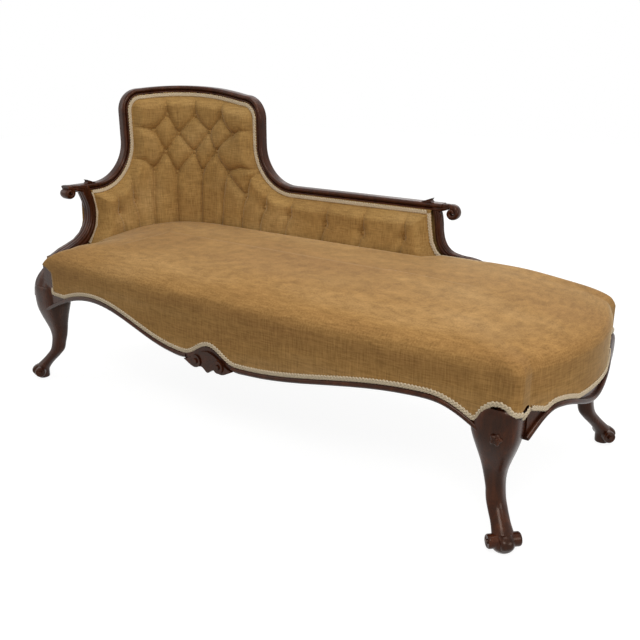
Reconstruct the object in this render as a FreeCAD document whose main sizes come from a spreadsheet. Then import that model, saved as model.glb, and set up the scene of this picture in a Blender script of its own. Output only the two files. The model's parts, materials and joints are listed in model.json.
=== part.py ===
import FreeCAD, Part
import Sketcher
import math
import os
from FreeCAD import Vector

# Victorian chaise longue: padded day bed with a buttoned half back that wraps the head end.
# Workshop axes: X from the head end to the foot end, Y from the front to the rear, Z up.
# The workshop origin is the sole of the front left leg; the last step moves the whole part.

SIZES = [
    # Plan of the frame
    ("leg_span_long", 1680.0),
    ("leg_span_deep", 646.0),
    ("head_corner_radius", 300.0),
    ("front_bow", 30.0),
    ("foot_bow", 57.0),
    # Seat frame
    ("frame_top", 400.0),
    ("frame_bottom", 336.0),
    ("frame_rail_thick", 32.0),
    ("leg_block", 58.0),
    ("facing_thick", 10.0),
    ("fit_gap", 0.3),
    ("bead_tall", 12.0),
    ("bead_proud", 4.0),
    ("arch_left_x", 330.0),
    ("arch_left_z", 327.0),
    ("arch_right_x", 1470.0),
    ("arch_right_z", 312.0),
    ("dip_x", 822.0),
    ("dip_z", 246.0),
    ("cartouche_half", 95.0),
    ("cartouche_rise", 38.0),
    ("cartouche_drop", 22.0),
    ("leg_shoulder_z", 244.0),
    ("foot_dip_z", 262.0),
    ("foot_arch_z", 300.0),
    ("foot_arch_in", 80.0),
    ("seat_step_x", 1386.0),
    ("back_edge_z", 313.0),
    # Legs
    ("ankle_height", 137.0),
    ("ankle_width", 40.0),
    ("knee_width", 54.0),
    ("knee_height", 285.0),
    ("toe_width", 66.0),
    ("knee_drop", 10.0),
    ("rear_leg_half", 42.0),
    # Show-wood rail of the back
    ("rail_face", 23.0),
    ("rail_depth", 30.0),
    ("tongue_wide", 16.0),
    ("tongue_front", 19.5),
    ("arm_rail_top", 630.0),
    ("back_rail_top", 623.0),
    ("ogee_radius", 130.0),
    ("hoop_left", 402.0),
    ("hoop_right", 982.0),
    ("stile_left_top", 850.0),
    ("stile_right_top", 828.0),
    ("crest_left_z", 933.0),
    ("crest_mid_z", 940.0),
    ("crest_right_z", 913.0),
    ("shoulder_reach", 78.0),
    ("stile_splice", 22.0),
    ("leaf_seat", 4.0),
    # Scroll supports at the two ends of the back
    ("arm_support_thick", 38.0),
    ("arm_band", 30.0),
    ("arm_scroll_y", 150.0),
    ("arm_scroll_z", 608.0),
    ("scroll_radius", 27.0),
    ("end_scroll_x", 1187.0),
    ("end_scroll_z", 597.0),
    ("end_support_thick", 26.0),
    ("end_band", 22.0),
    # Upholstery
    ("cover_thick", 2.5),
    ("webbing_thick", 1.2),
    ("hessian_thick", 1.0),
    ("dust_thick", 0.8),
    ("webbing_wide", 50.0),
    ("seat_height", 476.0),
    ("pad_foot_depth", 72.0),
    ("pad_crown_depth", 64.0),
    ("button_depth", 17.0),
    ("button_radius", 8.0),
    ("pleat_wide", 26.0),
    ("edge_roll", 34.0),
    ("button_thick", 5.0),
    ("braid_clear", 3.0),
    ("cloth_gap", 1.2),
    ("seam_gap", 3.0),
    ("gimp_wide", 13.0),
    ("gimp_thick", 3.0),
    ("arm_pad_start", 256.0),
    ("long_pad_end", 1636.0),
    # Springs and fastenings
    ("post_wide", 44.0),
    ("post_thick", 17.0),
    ("middle_post_x", 800.0),
    ("corner_round", 22.0),
    ("spring_radius", 36.0),
    ("spring_wire", 3.6),
    ("spring_turns", 4.0),
    ("wire_sides", 8.0),
    ("dowel_radius", 5.0),
    ("dowel_length", 40.0),
    ("screw_radius", 2.5),
    ("screw_length", 50.0),
    ("block_leg", 62.0),
    ("corner_block_reach", 130.0),
    ("block_low", 345.0),
    ("block_tall", 45.0),
    ("dowel_edge", 16.0),
    ("cartouche_thick", 26.0),
]

doc = FreeCAD.newDocument("chaise")
sheet = doc.addObject("Spreadsheet::Sheet", "Sizes")
for line, (alias, value) in enumerate(SIZES, start=1):
    sheet.set("A%d" % line, alias)
    sheet.set("B%d" % line, str(value))
    sheet.setAlias("B%d" % line, alias)
doc.recompute()


class Values:
    pass


v = Values()
for alias, value in SIZES:
    setattr(v, alias, float(sheet.get(alias)))

# Lengths along the plan curve of the back, from the front left corner
STRAIGHT = v.leg_span_deep - v.head_corner_radius
QUARTER = v.head_corner_radius * math.pi / 2
LEG_RUN = STRAIGHT + QUARTER / 2
END_RUN = STRAIGHT + QUARTER + v.leg_span_long - v.head_corner_radius
nodes = []


X, Y, Z = Vector(1, 0, 0), Vector(0, 1, 0), Vector(0, 0, 1)


def keep(label, shape):
    """One sub-part whose shape is worked out here."""
    thing = doc.addObject("Part::Feature", label)
    thing.Label = label
    thing.Shape = shape
    nodes.append(thing)
    return thing


# Geometry of the curved back wall

def run_of_x(x):
    """Run along the plan curve of a point on the straight rear wall."""
    return STRAIGHT + QUARTER + x - v.head_corner_radius


def at(run, inset, height):
    """Point at a run along the back, an inset towards the sitter and a height."""
    r = v.head_corner_radius
    if run <= STRAIGHT:
        return Vector(inset, run, height)
    if run >= STRAIGHT + QUARTER:
        return Vector(r + run - STRAIGHT - QUARTER, v.leg_span_deep - inset, height)
    turn = (run - STRAIGHT) / r
    return Vector(r - (r - inset) * math.cos(turn), STRAIGHT + (r - inset) * math.sin(turn), height)


def tangent(run):
    """Direction of growing run."""
    turn = min(max((run - STRAIGHT) / v.head_corner_radius, 0.0), math.pi / 2)
    return Vector(math.sin(turn), math.cos(turn), 0)


def run_edges(first, last, inset, height):
    """Edges along the wall between two runs, at one inset and height."""
    stops = [s for s in (STRAIGHT, STRAIGHT + QUARTER) if min(first, last) < s < max(first, last)]
    if first > last:
        stops.reverse()
    stops = [first] + stops + [last]
    edges = []
    for a, b in zip(stops, stops[1:]):
        middle = (a + b) / 2
        if STRAIGHT < middle < STRAIGHT + QUARTER:
            arc = Part.Arc(at(a, inset, height), at(middle, inset, height), at(b, inset, height))
            edges.append(arc.toShape())
        else:
            edges.append(Part.makeLine(at(a, inset, height), at(b, inset, height)))
    return edges


def wall(first, last, outer, inner, low, high):
    """Upright piece of the back wall between two runs and two insets."""
    edges = run_edges(first, last, outer, low)
    edges.append(Part.makeLine(at(last, outer, low), at(last, inner, low)))
    edges += run_edges(last, first, inner, low)
    edges.append(Part.makeLine(at(first, inner, low), at(first, outer, low)))
    return Part.Face(Part.Wire(edges)).extrude(Vector(0, 0, high - low))


def box(x0, x1, y0, y1, z0, z1):
    return Part.makeBox(x1 - x0, y1 - y0, z1 - z0, Vector(x0, y0, z0))


# Show-wood line of the back, laid out flat as run and height

def laid(*stops):
    """Straight or curved edge on the laid-out wall, through two or three (run, height) stops."""
    points = [Vector(run, height, 0) for run, height in stops]
    if len(points) == 2:
        return Part.makeLine(*points)
    return Part.Arc(*points).toShape()


def ogee_middle(foot, stile):
    """Middle of the hollow quarter arc from a level rail to an upright stile."""
    lean = math.sqrt(0.5)
    return (foot[0] + lean * (stile[0] - foot[0]), foot[1] + (1 - lean) * (stile[1] - foot[1]))


def shoulder_middle(stile, crest):
    """Middle of the rounded corner between a stile and the crest."""
    return (stile[0] + 0.27 * (crest[0] - stile[0]), stile[1] + 0.72 * (crest[1] - stile[1]))


LEFT_FOOT = (v.hoop_left - v.ogee_radius, v.arm_rail_top)
LEFT_LOW = (v.hoop_left, v.arm_rail_top + v.ogee_radius)
LEFT_TOP = (v.hoop_left, v.stile_left_top)
CREST_L = (v.hoop_left + v.shoulder_reach, v.crest_left_z)
CREST_M = ((v.hoop_left + v.hoop_right) / 2, v.crest_mid_z)
CREST_R = (v.hoop_right - v.shoulder_reach, v.crest_right_z)
RIGHT_TOP = (v.hoop_right, v.stile_right_top)
RIGHT_LOW = (v.hoop_right, v.back_rail_top + v.ogee_radius)
RIGHT_FOOT = (v.hoop_right + v.ogee_radius, v.back_rail_top)


LEFT_SPLIT = (v.hoop_left, v.stile_left_top - v.stile_splice)
RIGHT_SPLIT = (v.hoop_right, v.stile_right_top - v.stile_splice)
RAIL_START = (v.arm_scroll_y + v.scroll_radius + v.leaf_seat, v.arm_rail_top)
RAIL_END = (run_of_x(v.end_scroll_x) - v.scroll_radius - v.leaf_seat, v.back_rail_top)


def offset_samples(edges, count):
    """Points and inward directions along the laid-out rail line."""
    samples = []
    for edge in edges:
        first, last = edge.ParameterRange
        for k in range(count):
            u = first + (last - first) * k / (count - 1)
            p = edge.valueAt(u)
            t = edge.tangentAt(u)
            inward = Vector(t.y, -t.x, 0)
            if samples and samples[-1][0].distanceToPoint(p) < 1.0:
                inward = (inward + samples[-1][1]).normalize()
                samples[-1] = (p, inward)
            else:
                samples.append((p, inward))
    return samples


def lay(p, inward, across, inset):
    """Point on the bent wall, a step across the rail face from its outer edge."""
    q = p + inward * across
    return at(q.x, inset, q.y)


def rail_section(p, inward):
    """Moulded rail: visible face, rebate and the tacking tongue behind the cover."""
    face = v.rail_face
    tongue = v.rail_face + v.tongue_wide
    back = -v.cover_thick
    corners = [
        (0, back), (0, v.rail_depth - 6), (6, v.rail_depth), (face, v.rail_depth),
        (face, v.tongue_front), (tongue, v.tongue_front),
        (tongue, v.fit_gap), (face, v.fit_gap), (face, back),
    ]
    return Part.makePolygon([lay(p, inward, a, b) for a, b in corners + corners[:1]])


def rail_piece(edges, count=5):
    return Part.makeLoft([rail_section(p, n) for p, n in offset_samples(edges, count)], True)


def strip_section(p, inward, across, wide, inset, thick):
    far = across + wide
    corners = [(across, inset), (across, inset + thick), (far, inset + thick), (far, inset)]
    return Part.makePolygon([lay(p, inward, a, b) for a, b in corners + corners[:1]])


ARM_LINE = [laid(RAIL_START, LEFT_FOOT)]
LEFT_LINE = [laid(LEFT_FOOT, ogee_middle(LEFT_FOOT, LEFT_LOW), LEFT_LOW), laid(LEFT_LOW, LEFT_SPLIT)]
CREST_LINE = [
    laid(LEFT_SPLIT, LEFT_TOP),
    laid(LEFT_TOP, shoulder_middle(LEFT_TOP, CREST_L), CREST_L),
    laid(CREST_L, CREST_M, CREST_R),
    laid(CREST_R, shoulder_middle(RIGHT_TOP, CREST_R), RIGHT_TOP),
    laid(RIGHT_TOP, RIGHT_SPLIT),
]
RIGHT_LINE = [laid(RIGHT_SPLIT, RIGHT_LOW), laid(RIGHT_LOW, ogee_middle(RIGHT_FOOT, RIGHT_LOW), RIGHT_FOOT)]
REAR_LINE = [laid(RIGHT_FOOT, RAIL_END)]


def inner_line(across):
    """Laid-out points of the whole rail line, moved in from its outer edge."""
    edges = ARM_LINE + LEFT_LINE + CREST_LINE + RIGHT_LINE + REAR_LINE
    return [p + n * across for p, n in offset_samples(edges, 49)]


def line_height(points, run):
    """Lowest height at which a laid-out line stands over a run."""
    found = []
    for p, q in zip(points, points[1:]):
        if min(p.x, q.x) <= run <= max(p.x, q.x) and abs(q.x - p.x) > 1e-6:
            found.append(p.y + (q.y - p.y) * (run - p.x) / (q.x - p.x))
    return min(found)


# Padded forms of the back: upright slices through arcs, lofted along the wall

FACE_LINE = inner_line(v.rail_face)
TONGUE_LINE = inner_line(v.rail_face + v.tongue_wide)
BRAID_LINE = inner_line(v.rail_face + v.gimp_wide + v.braid_clear)
LAYER_WEBBING = v.tongue_front + v.fit_gap
LAYER_HESSIAN = LAYER_WEBBING + v.webbing_thick + v.fit_gap
LAYER_PAD = LAYER_HESSIAN + v.hessian_thick + v.fit_gap
PAD_FOOT = v.frame_top + v.hessian_thick + 2 * v.fit_gap


def hump(value, centre, width):
    """One at the centre, falling to nothing a width away."""
    reach = abs(value - centre) / width
    return 0.5 + 0.5 * math.cos(math.pi * reach) if reach < 1 else 0.0


def puffed(depths):
    """Depths of a slice with no middle lying behind the line between its two ends."""
    out = list(depths)
    for k in range(1, len(out) - 1, 2):
        out[k] = max(out[k], (out[k - 1] + out[k + 1]) / 2)
    return out


def arcs_through(points):
    """Edges through each run of three points: arcs, or a line where they lie straight."""
    edges = []
    for k in range(0, len(points) - 2, 2):
        a, b, c = points[k:k + 3]
        if (b - a).cross(c - b).Length < 1e-3 * (c - a).Length:
            edges.append(Part.makeLine(a, c))
        else:
            edges.append(Part.Arc(a, b, c).toShape())
    return edges


def skin_slice(run, levels, depths):
    """Upright slice of a cover: its face and its lining, one cloth thickness apart."""
    face = [at(run, d, z) for z, d in zip(levels, depths)]
    lining = [at(run, d - v.cover_thick, z) for z, d in zip(levels, depths)][::-1]
    edges = arcs_through(face) + [Part.makeLine(face[-1], lining[0])]
    edges += arcs_through(lining) + [Part.makeLine(lining[-1], face[0])]
    return Part.Wire(edges)


def fill_slice(run, levels, depths):
    """Upright slice of the stuffing behind a cover, flat at the back and thin at its top edge."""
    step = v.cover_thick + v.fit_gap
    steps = [step] * (len(levels) - 2) + [2 * step]
    face = [at(run, d - k, z) for z, d, k in zip(levels, depths, steps)]
    top = levels[-1] - 0.15 * (levels[-1] - levels[-2])
    face.append(at(run, LAYER_PAD + v.fit_gap, top))
    back = [at(run, LAYER_PAD, top), at(run, LAYER_PAD, levels[0])]
    edges = arcs_through(face) + [Part.makeLine(face[-1], back[0])]
    edges += [Part.makeLine(back[0], back[1]), Part.makeLine(back[1], face[0])]
    return Part.Wire(edges)


def covered(label, runs, slice_of):
    """A pad as its stuffing and the cover over it, ruled from slice to slice."""
    slices = [(run,) + slice_of(run) for run in runs]
    keep(label + "_cover", Part.makeLoft([skin_slice(*one) for one in slices], True, True))
    filled = [one for one in slices if edge_fade(one[0], runs[0], runs[-1]) > 0.3]
    fills = [fill_slice(run, levels[:-2], depths[:-2]) for run, levels, depths in filled]
    keep(label + "_stuffing", Part.makeLoft(fills, True, True))


RIM_MARGIN = v.gimp_wide + 2 * v.fit_gap


def edge_fade(run, first, last):
    """Nothing under the braid at the two ends of a pad, one further in than the rolled edge."""
    near = (min(run - first, last - run) - RIM_MARGIN) / v.edge_roll
    return 1.0 if near >= 1 else math.sin(max(near, 0.0) * math.pi / 2)


def settle(levels, depths, run, first, last, open_first, open_last):
    """Bring a slice down to the rim near a pad's ends, but not where two pads meet low down."""
    rim = LAYER_PAD + v.cover_thick
    everywhere = edge_fade(run, first, last)
    far = 10 * v.edge_roll
    low = edge_fade(run, first - far * (not open_first), last + far * (not open_last))
    seam = v.back_rail_top - v.rail_face - v.gimp_wide
    settled = []
    for z, d in zip(levels, depths):
        settled.append(rim + (d - rim) * (low if z < seam else everywhere) if d > rim else d)
    return puffed(settled)


def pad_top(run):
    """Top of a pad or cloth under the rail."""
    return line_height(FACE_LINE, run) - v.cloth_gap


def row_slice(run, first, last, open_ends, buttons):
    """Slice of a pad with one row of buttons and an upright pleat through each."""
    top = pad_top(run)
    braid = min(top - v.gimp_wide, line_height(BRAID_LINE, run))
    foot = PAD_FOOT
    near = min(buttons, key=lambda b: abs(b[0] - run))
    dent = hump(run, near[0], v.pleat_wide)
    rim = LAYER_PAD + v.cover_thick
    row = near[1]
    seat = v.seat_height
    levels = [foot, (foot + seat) / 2, seat, (seat + row) / 2, row, (row + braid) / 2,
              braid, (braid + top) / 2, top]
    crown = v.pad_crown_depth
    depths = [
        v.pad_foot_depth - 2,
        v.pad_foot_depth - 2,
        v.pad_foot_depth - 3,
        crown + 5 - 0.5 * v.button_depth * dent,
        crown - 6 - v.button_depth * dent,
        crown - 12 - 0.5 * v.button_depth * dent,
        rim,
        rim,
        rim,
    ]
    return levels, settle(levels, depths, run, first, last, *open_ends)


ARM_BUTTONS = [(337.0, 521.0), (412.0, 552.0)]
LONG_BUTTONS = [(1007.0, 545.0), (1118.0, 531.0), (1267.0, 518.0), (1411.0, 506.0), (1561.0, 510.0)]
STILE_BUTTON = (925.0, 579.0)
HOOP_ROWS = [
    (842.0, [577.0, 692.0, 815.0]),
    (785.0, [516.0, 622.0, 752.0, 866.0]),
    (718.0, [561.0, 679.0, 783.0]),
    (652.0, [508.0, 603.0, 714.0, 842.0]),
]


def hoop_slice(run, first, last, open_ends):
    """Slice of the deep-buttoned head pad: four staggered rows and flutes down to the seat."""
    top = pad_top(run)
    braid = top - v.gimp_wide
    if edge_fade(run, first, last) > 0:
        braid = min(braid, line_height(BRAID_LINE, run))
    rim = LAYER_PAD + v.cover_thick
    crown = v.pad_crown_depth
    rows = [height for height, stops in HOOP_ROWS][::-1]
    room = braid - v.edge_roll / 2 - v.seat_height
    squeeze = min(1.0, room / (rows[-1] - v.seat_height))
    rows = [v.seat_height + (row - v.seat_height) * squeeze for row in rows]
    dents = [max(hump(run, b, v.pleat_wide) for b in stops) for height, stops in HOOP_ROWS][::-1]
    levels = [PAD_FOOT, (PAD_FOOT + v.seat_height) / 2, v.seat_height]
    depths = [v.pad_foot_depth - 2, v.pad_foot_depth - 2, v.pad_foot_depth - 3]
    stops = [v.seat_height] + rows + [braid]
    last_dent = 0.0
    for k, row in enumerate(rows):
        levels += [(stops[k] + row) / 2, row]
        swell = crown + 2 - 0.35 * v.button_depth * (dents[k] + last_dent)
        depths += [swell, crown - v.button_depth * dents[k]]
        last_dent = dents[k]
    levels += [(stops[-2] + stops[-1]) / 2, braid, (braid + top) / 2, top]
    depths += [crown - 12 - 0.5 * v.button_depth * last_dent, rim, rim, rim]
    return levels, settle(levels, depths, run, first, last, *open_ends)


def spread(first, last, stops):
    """Runs of the slices: the ends, the rolled edges, the buttons and the swells between."""
    roll = v.edge_roll / 4
    steps = [RIM_MARGIN * k / 4 for k in range(5)] + [RIM_MARGIN + roll, RIM_MARGIN + 2 * roll]
    frame = [first + step for step in steps] + [last - step for step in steps]
    runs = list(stops)
    for mark in frame:
        if all(abs(mark - run) > 5 for run in stops):
            runs.append(mark)
    runs = sorted(runs)
    for a, b in list(zip(runs, runs[1:])):
        if b - a > 2.4 * v.pleat_wide:
            runs += [a + 0.8 * v.pleat_wide, b - 0.8 * v.pleat_wide]
        if b - a > 0.9 * v.pleat_wide:
            runs.append((a + b) / 2)
    return sorted(runs)


LEFT_PAD_EDGE = v.hoop_left + v.rail_face
RIGHT_PAD_EDGE = v.hoop_right - v.rail_face
arm_first = v.arm_pad_start
arm_last = LEFT_PAD_EDGE - v.seam_gap
hoop_first = LEFT_PAD_EDGE + v.cloth_gap
hoop_last = RIGHT_PAD_EDGE - v.cloth_gap
long_first = RIGHT_PAD_EDGE + v.seam_gap
long_last = v.long_pad_end

arm_ends, hoop_ends, long_ends = (True, False), (False, False), (False, True)
covered("arm_pad", spread(arm_first, arm_last, [b[0] for b in ARM_BUTTONS]),
        lambda run: row_slice(run, arm_first, arm_last, arm_ends, ARM_BUTTONS))
covered("head_pad", spread(hoop_first, hoop_last, [b for row in HOOP_ROWS for b in row[1]]),
        lambda run: hoop_slice(run, hoop_first, hoop_last, hoop_ends))
covered("long_pad", spread(long_first, long_last, [b[0] for b in LONG_BUTTONS]),
        lambda run: row_slice(run, long_first, long_last, long_ends, LONG_BUTTONS))

keep("arm_rail", rail_piece(ARM_LINE, 2))
keep("left_hoop_stile", rail_piece(LEFT_LINE, 9))
keep("crest_rail", rail_piece(CREST_LINE, 9))
keep("right_hoop_stile", rail_piece(RIGHT_LINE, 9))
keep("back_rail", rail_piece(REAR_LINE, 2))


# Supports at the two ends of the back

def smooth(points):
    curve = Part.BSplineCurve()
    curve.interpolate(points)
    return curve.toShape()


def banded_scroll(spine, half, direction, thick, scroll, radius):
    """S-shaped support of even width along a spine, with a round scroll at its head."""
    mid = smooth(spine)
    first, last = mid.ParameterRange
    left, right = [], []
    across = direction
    for k in range(9):
        u = first + (last - first) * k / 8
        p = mid.valueAt(u)
        side = mid.tangentAt(u).cross(across).normalize()
        left.append(p + side * half)
        right.append(p - side * half)
    ends = [Part.makeLine(left[-1], right[-1]), Part.makeLine(right[0], left[0])]
    edges = [smooth(left), ends[0], smooth(right[::-1]), ends[1]]
    band = Part.Face(Part.Wire(edges)).extrude(direction * thick)
    disc = Part.makeCylinder(radius, thick, scroll, direction)
    eye = Part.makeCylinder(radius * 0.42, thick + 8, scroll - direction * 4, direction)
    return band.fuse([disc, eye]).removeSplitter()


ARM_SPINE = [(25, -4), (66, -24), (83, -76), (68, -130), (20, -174), (-45, -190), (-95, -193)]
END_SPINE = [
    (-14, -12), (-36, -34), (-38, -75), (-16, -112), (38, -133), (92, -137), (128, -160), (138, -197),
]


def arm_support():
    """Front support of the head end, from the leg's knee up to the forward scroll."""
    y, z = v.arm_scroll_y, v.arm_scroll_z
    half = v.arm_band / 2
    spine = [Vector(0, y + a, z + b) for a, b in ARM_SPINE]
    eye = Vector(0, y, z)
    shape = banded_scroll(spine, half, Vector(1, 0, 0), v.arm_support_thick, eye, v.scroll_radius)
    foot = box(0, v.arm_support_thick, v.fit_gap, v.block_leg, v.frame_top, v.frame_top + v.arm_band)
    below = box(-10, v.arm_support_thick + 10, -60, y, v.frame_top - 60, v.frame_top)
    return shape.fuse(foot).cut(below).removeSplitter()


def end_support():
    """Rear support at the open end of the back, from the seat rail up to its scroll."""
    x, z = v.end_scroll_x, v.end_scroll_z
    half = v.end_band / 2
    y = v.leg_span_deep
    spine = [Vector(x + a, y, z + b) for a, b in END_SPINE]
    eye = Vector(x, y, z)
    shape = banded_scroll(spine, half, Vector(0, -1, 0), v.end_support_thick, eye, v.scroll_radius)
    return shape.cut(box(x - 200, x + 300, y - 60, y + 20, v.frame_top - 60, v.frame_top))


by_name = {thing.Label: thing for thing in nodes}
keep("arm_support", arm_support().cut(by_name["arm_rail"].Shape))
keep("end_support", end_support().cut(by_name["back_rail"].Shape))


# Legs

def rounded_square(cx, cy, side, corner, height):
    """Level square outline with rounded corners."""
    h = side / 2
    k = corner * (1 - math.sqrt(0.5))
    c = corner
    points = []
    for a, b in ((1, -1), (1, 1), (-1, 1), (-1, -1)):
        x, y = cx + a * h, cy + b * h
        start, end = Vector(x - a * c, y, height), Vector(x, y - b * c, height)
        turn = [start, Vector(x - a * k, y - b * k, height), end]
        points.append(turn if a * b < 0 else turn[::-1])
    edges = []
    for k, turn in enumerate(points):
        edges.append(Part.Arc(*turn).toShape())
        edges.append(Part.makeLine(turn[-1], points[(k + 1) % 4][0]))
    return Part.Wire(edges)


def cabriole(top):
    """Cabriole leg standing at the origin, bowing out towards -X -Y, below its square block."""
    ankle = v.ankle_width
    knee = v.knee_width
    toe = v.toe_width
    block = v.leg_block / 2
    stations = [
        (0, 0, 0.62 * toe, 12),
        (8, 0, 0.86 * toe, 16),
        (28, -2, toe, 22),
        (46, 4, 0.84 * toe, 20),
        (68, 24, 0.72 * toe, 16),
        (100, 52, ankle + 2, 13),
        (v.ankle_height, 60, ankle, 13),
        (190, 54, ankle + 4, 13),
        (235, 44, knee - 6, 14),
        (v.knee_height, 36, knee, 14),
        (top, 1.414 * block, knee, 8),
    ]
    wires = []
    for height, back, side, corner in stations:
        step = back * math.sqrt(0.5)
        wires.append(rounded_square(step, step, side, corner, height))
    return Part.makeLoft(wires, True)


def leg(cx, cy, turn, top):
    """Cabriole leg at a corner of the frame, its knee cut back in line with its block."""
    side = v.leg_block
    low = v.leg_shoulder_z - v.fit_gap
    shape = cabriole(top).cut([box(side, 2 * side, -side, 2 * side, low, top),
                               box(-side, 2 * side, side, 2 * side, low, top)])
    shape.rotate(Vector(0, 0, 0), Vector(0, 0, 1), turn)
    shape.translate(Vector(cx, cy, 0))
    return shape


knee_top = v.frame_bottom - v.knee_drop
block_low, block_high = v.cover_thick + v.fit_gap, v.leg_block
long, deep = v.leg_span_long, v.leg_span_deep
plain_leg = leg(0, 0, 0, knee_top)


def corner_square(x, y, sx, sy, rounding):
    """Square block over a leg, its outer corner rounded for the cover."""
    x0, x1 = sorted((x + sx * block_low, x + sx * block_high))
    y0, y1 = sorted((y + sy * block_low, y + sy * block_high))
    block = box(x0, x1, y0, y1, knee_top, v.frame_top)
    if not rounding:
        return block
    outer = Vector(x + sx * block_low, y + sy * block_low, 0)
    upright = [edge for edge in block.Edges
               if all(math.hypot(p.X - outer.x, p.Y - outer.y) < 1e-6 for p in edge.Vertexes)]
    return block.makeFillet(rounding, upright)


square = corner_square(long, 0, -1, 1, v.corner_round)
rear_square = corner_square(long, deep, -1, -1, v.corner_round)
front_left = plain_leg.fuse(corner_square(0, 0, 1, 1, 0)).removeSplitter()
front_right = leg(long, 0, 90, knee_top).fuse(square).removeSplitter()
rear_right = leg(long, deep, 180, knee_top).fuse(rear_square).removeSplitter()
out = at(LEG_RUN, 0, 0)
rear_left = leg(out.x, out.y, 270, knee_top).fuse(
    wall(LEG_RUN - v.rear_leg_half, LEG_RUN + v.rear_leg_half, block_low, block_high, knee_top, v.frame_top)
).removeSplitter()
for name, shape in (("front_left_leg", front_left), ("front_right_leg", front_right),
                    ("rear_right_leg", rear_right), ("rear_left_leg", rear_left)):
    keep(name, shape)


# Rails of the seat frame

def front_wall(near, far, low, high):
    """Upright strip behind the bowed front, between two insets."""
    a, b = block_high, long - block_high
    mid = (a + b) / 2
    edges = [
        Part.Arc(Vector(a, near, low), Vector(mid, near - v.front_bow, low), Vector(b, near, low)).toShape(),
        Part.makeLine(Vector(b, near, low), Vector(b, far, low)),
        Part.Arc(Vector(b, far, low), Vector(mid, far - v.front_bow, low), Vector(a, far, low)).toShape(),
        Part.makeLine(Vector(a, far, low), Vector(a, near, low)),
    ]
    return Part.Face(Part.Wire(edges)).extrude(Vector(0, 0, high - low))


def foot_wall(near, far, low, high):
    """Upright strip behind the bowed foot end, between two insets."""
    a, b = block_high, deep - block_high
    mid = (a + b) / 2
    x0, x1 = long - near, long - far
    edges = [
        Part.Arc(Vector(x0, a, low), Vector(x0 + v.foot_bow, mid, low), Vector(x0, b, low)).toShape(),
        Part.makeLine(Vector(x0, b, low), Vector(x1, b, low)),
        Part.Arc(Vector(x1, b, low), Vector(x1 + v.foot_bow, mid, low), Vector(x1, a, low)).toShape(),
        Part.makeLine(Vector(x1, a, low), Vector(x0, a, low)),
    ]
    return Part.Face(Part.Wire(edges)).extrude(Vector(0, 0, high - low))


def ease(a, b, part):
    return a + (b - a) * (0.5 - 0.5 * math.cos(math.pi * part))


def front_edge(x):
    """Height of the shaped lower edge of the front rail, with an arch over the cartouche."""
    a, b = block_high, long - block_high
    away = abs(x - v.dip_x)
    if away < v.cartouche_half:
        return ease(v.dip_z + v.cartouche_rise, v.dip_z, away / v.cartouche_half)
    if x <= v.arch_left_x:
        part = (x - a) / (v.arch_left_x - a)
        return v.leg_shoulder_z + (v.arch_left_z - v.leg_shoulder_z) * math.sin(part * math.pi / 2)
    if x < v.dip_x:
        span = v.dip_x - v.cartouche_half - v.arch_left_x
        return ease(v.arch_left_z, v.dip_z, (x - v.arch_left_x) / span)
    if x <= v.arch_right_x:
        start = v.dip_x + v.cartouche_half
        return ease(v.dip_z, v.arch_right_z, (x - start) / (v.arch_right_x - start))
    part = (b - x) / (b - v.arch_right_x)
    return v.leg_shoulder_z + (v.arch_right_z - v.leg_shoulder_z) * math.sin(part * math.pi / 2)


def foot_edge(y):
    """Height of the shaped lower edge of the foot rail."""
    reach = min(y, deep - y) - block_high
    arch = v.foot_arch_in
    if reach <= arch:
        rise = v.foot_arch_z - v.leg_shoulder_z
        return v.leg_shoulder_z + rise * math.sin(reach / arch * math.pi / 2)
    return ease(v.foot_arch_z, v.foot_dip_z, (reach - arch) / (deep / 2 - block_high - arch))


def shaped_band(edge, first, last, low, high, along):
    """Solid between two copies of a shaped edge, or from it up to a level, run through the frame."""
    steps = 40
    marks = [first + (last - first) * k / steps for k in range(steps + 1)]
    deep_in = Vector(0, -200, 0) if along == "x" else Vector(1500, 0, 0)
    through = Vector(0, 400, 0) if along == "x" else Vector(400, 0, 0)

    def place(mark, height):
        return deep_in + (Vector(mark, 0, height) if along == "x" else Vector(0, mark, height))

    bottom = smooth([place(m, edge(m) + low) for m in marks])
    if high > v.gimp_wide * 3:
        top = Part.makeLine(place(last, high), place(first, high))
    else:
        top = smooth([place(m, edge(m) + high) for m in marks[::-1]])
    ends = [Part.makeLine(bottom.Vertexes[-1].Point, top.Vertexes[0].Point),
            Part.makeLine(top.Vertexes[-1].Point, bottom.Vertexes[0].Point)]
    return Part.Face(Part.Wire([bottom, ends[0], top, ends[1]])).extrude(through)


facing_back = block_low + v.facing_thick
rail_front = facing_back + v.fit_gap
rail_back = rail_front + v.frame_rail_thick
gimp_low = v.bead_tall + v.fit_gap
facing_top = v.frame_top - v.fit_gap
front_span = (front_edge, block_high, long - block_high)
foot_span = (foot_edge, block_high, deep - block_high)
shaped_sides = [("front", front_wall, front_span, "x"), ("foot_end", foot_wall, foot_span, "y")]
for name, strip, span, along in shaped_sides:
    board = strip(block_low, facing_back, 200, facing_top)
    board = board.common(shaped_band(*span, 0, facing_top + 1, along))
    bead = strip(-v.bead_proud, block_low, 200, facing_top)
    bead = bead.common(shaped_band(*span, 0, v.bead_tall, along))
    keep(name + "_rail_facing", board.fuse(bead).removeSplitter())
    keep(name + "_seat_rail", strip(rail_front, rail_back, v.frame_bottom, v.frame_top))
    trim = strip(-v.fit_gap - v.gimp_thick, -v.fit_gap, 200, v.frame_top)
    keep(name + "_gimp", trim.common(shaped_band(*span, gimp_low, gimp_low + v.gimp_wide, along)))

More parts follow.
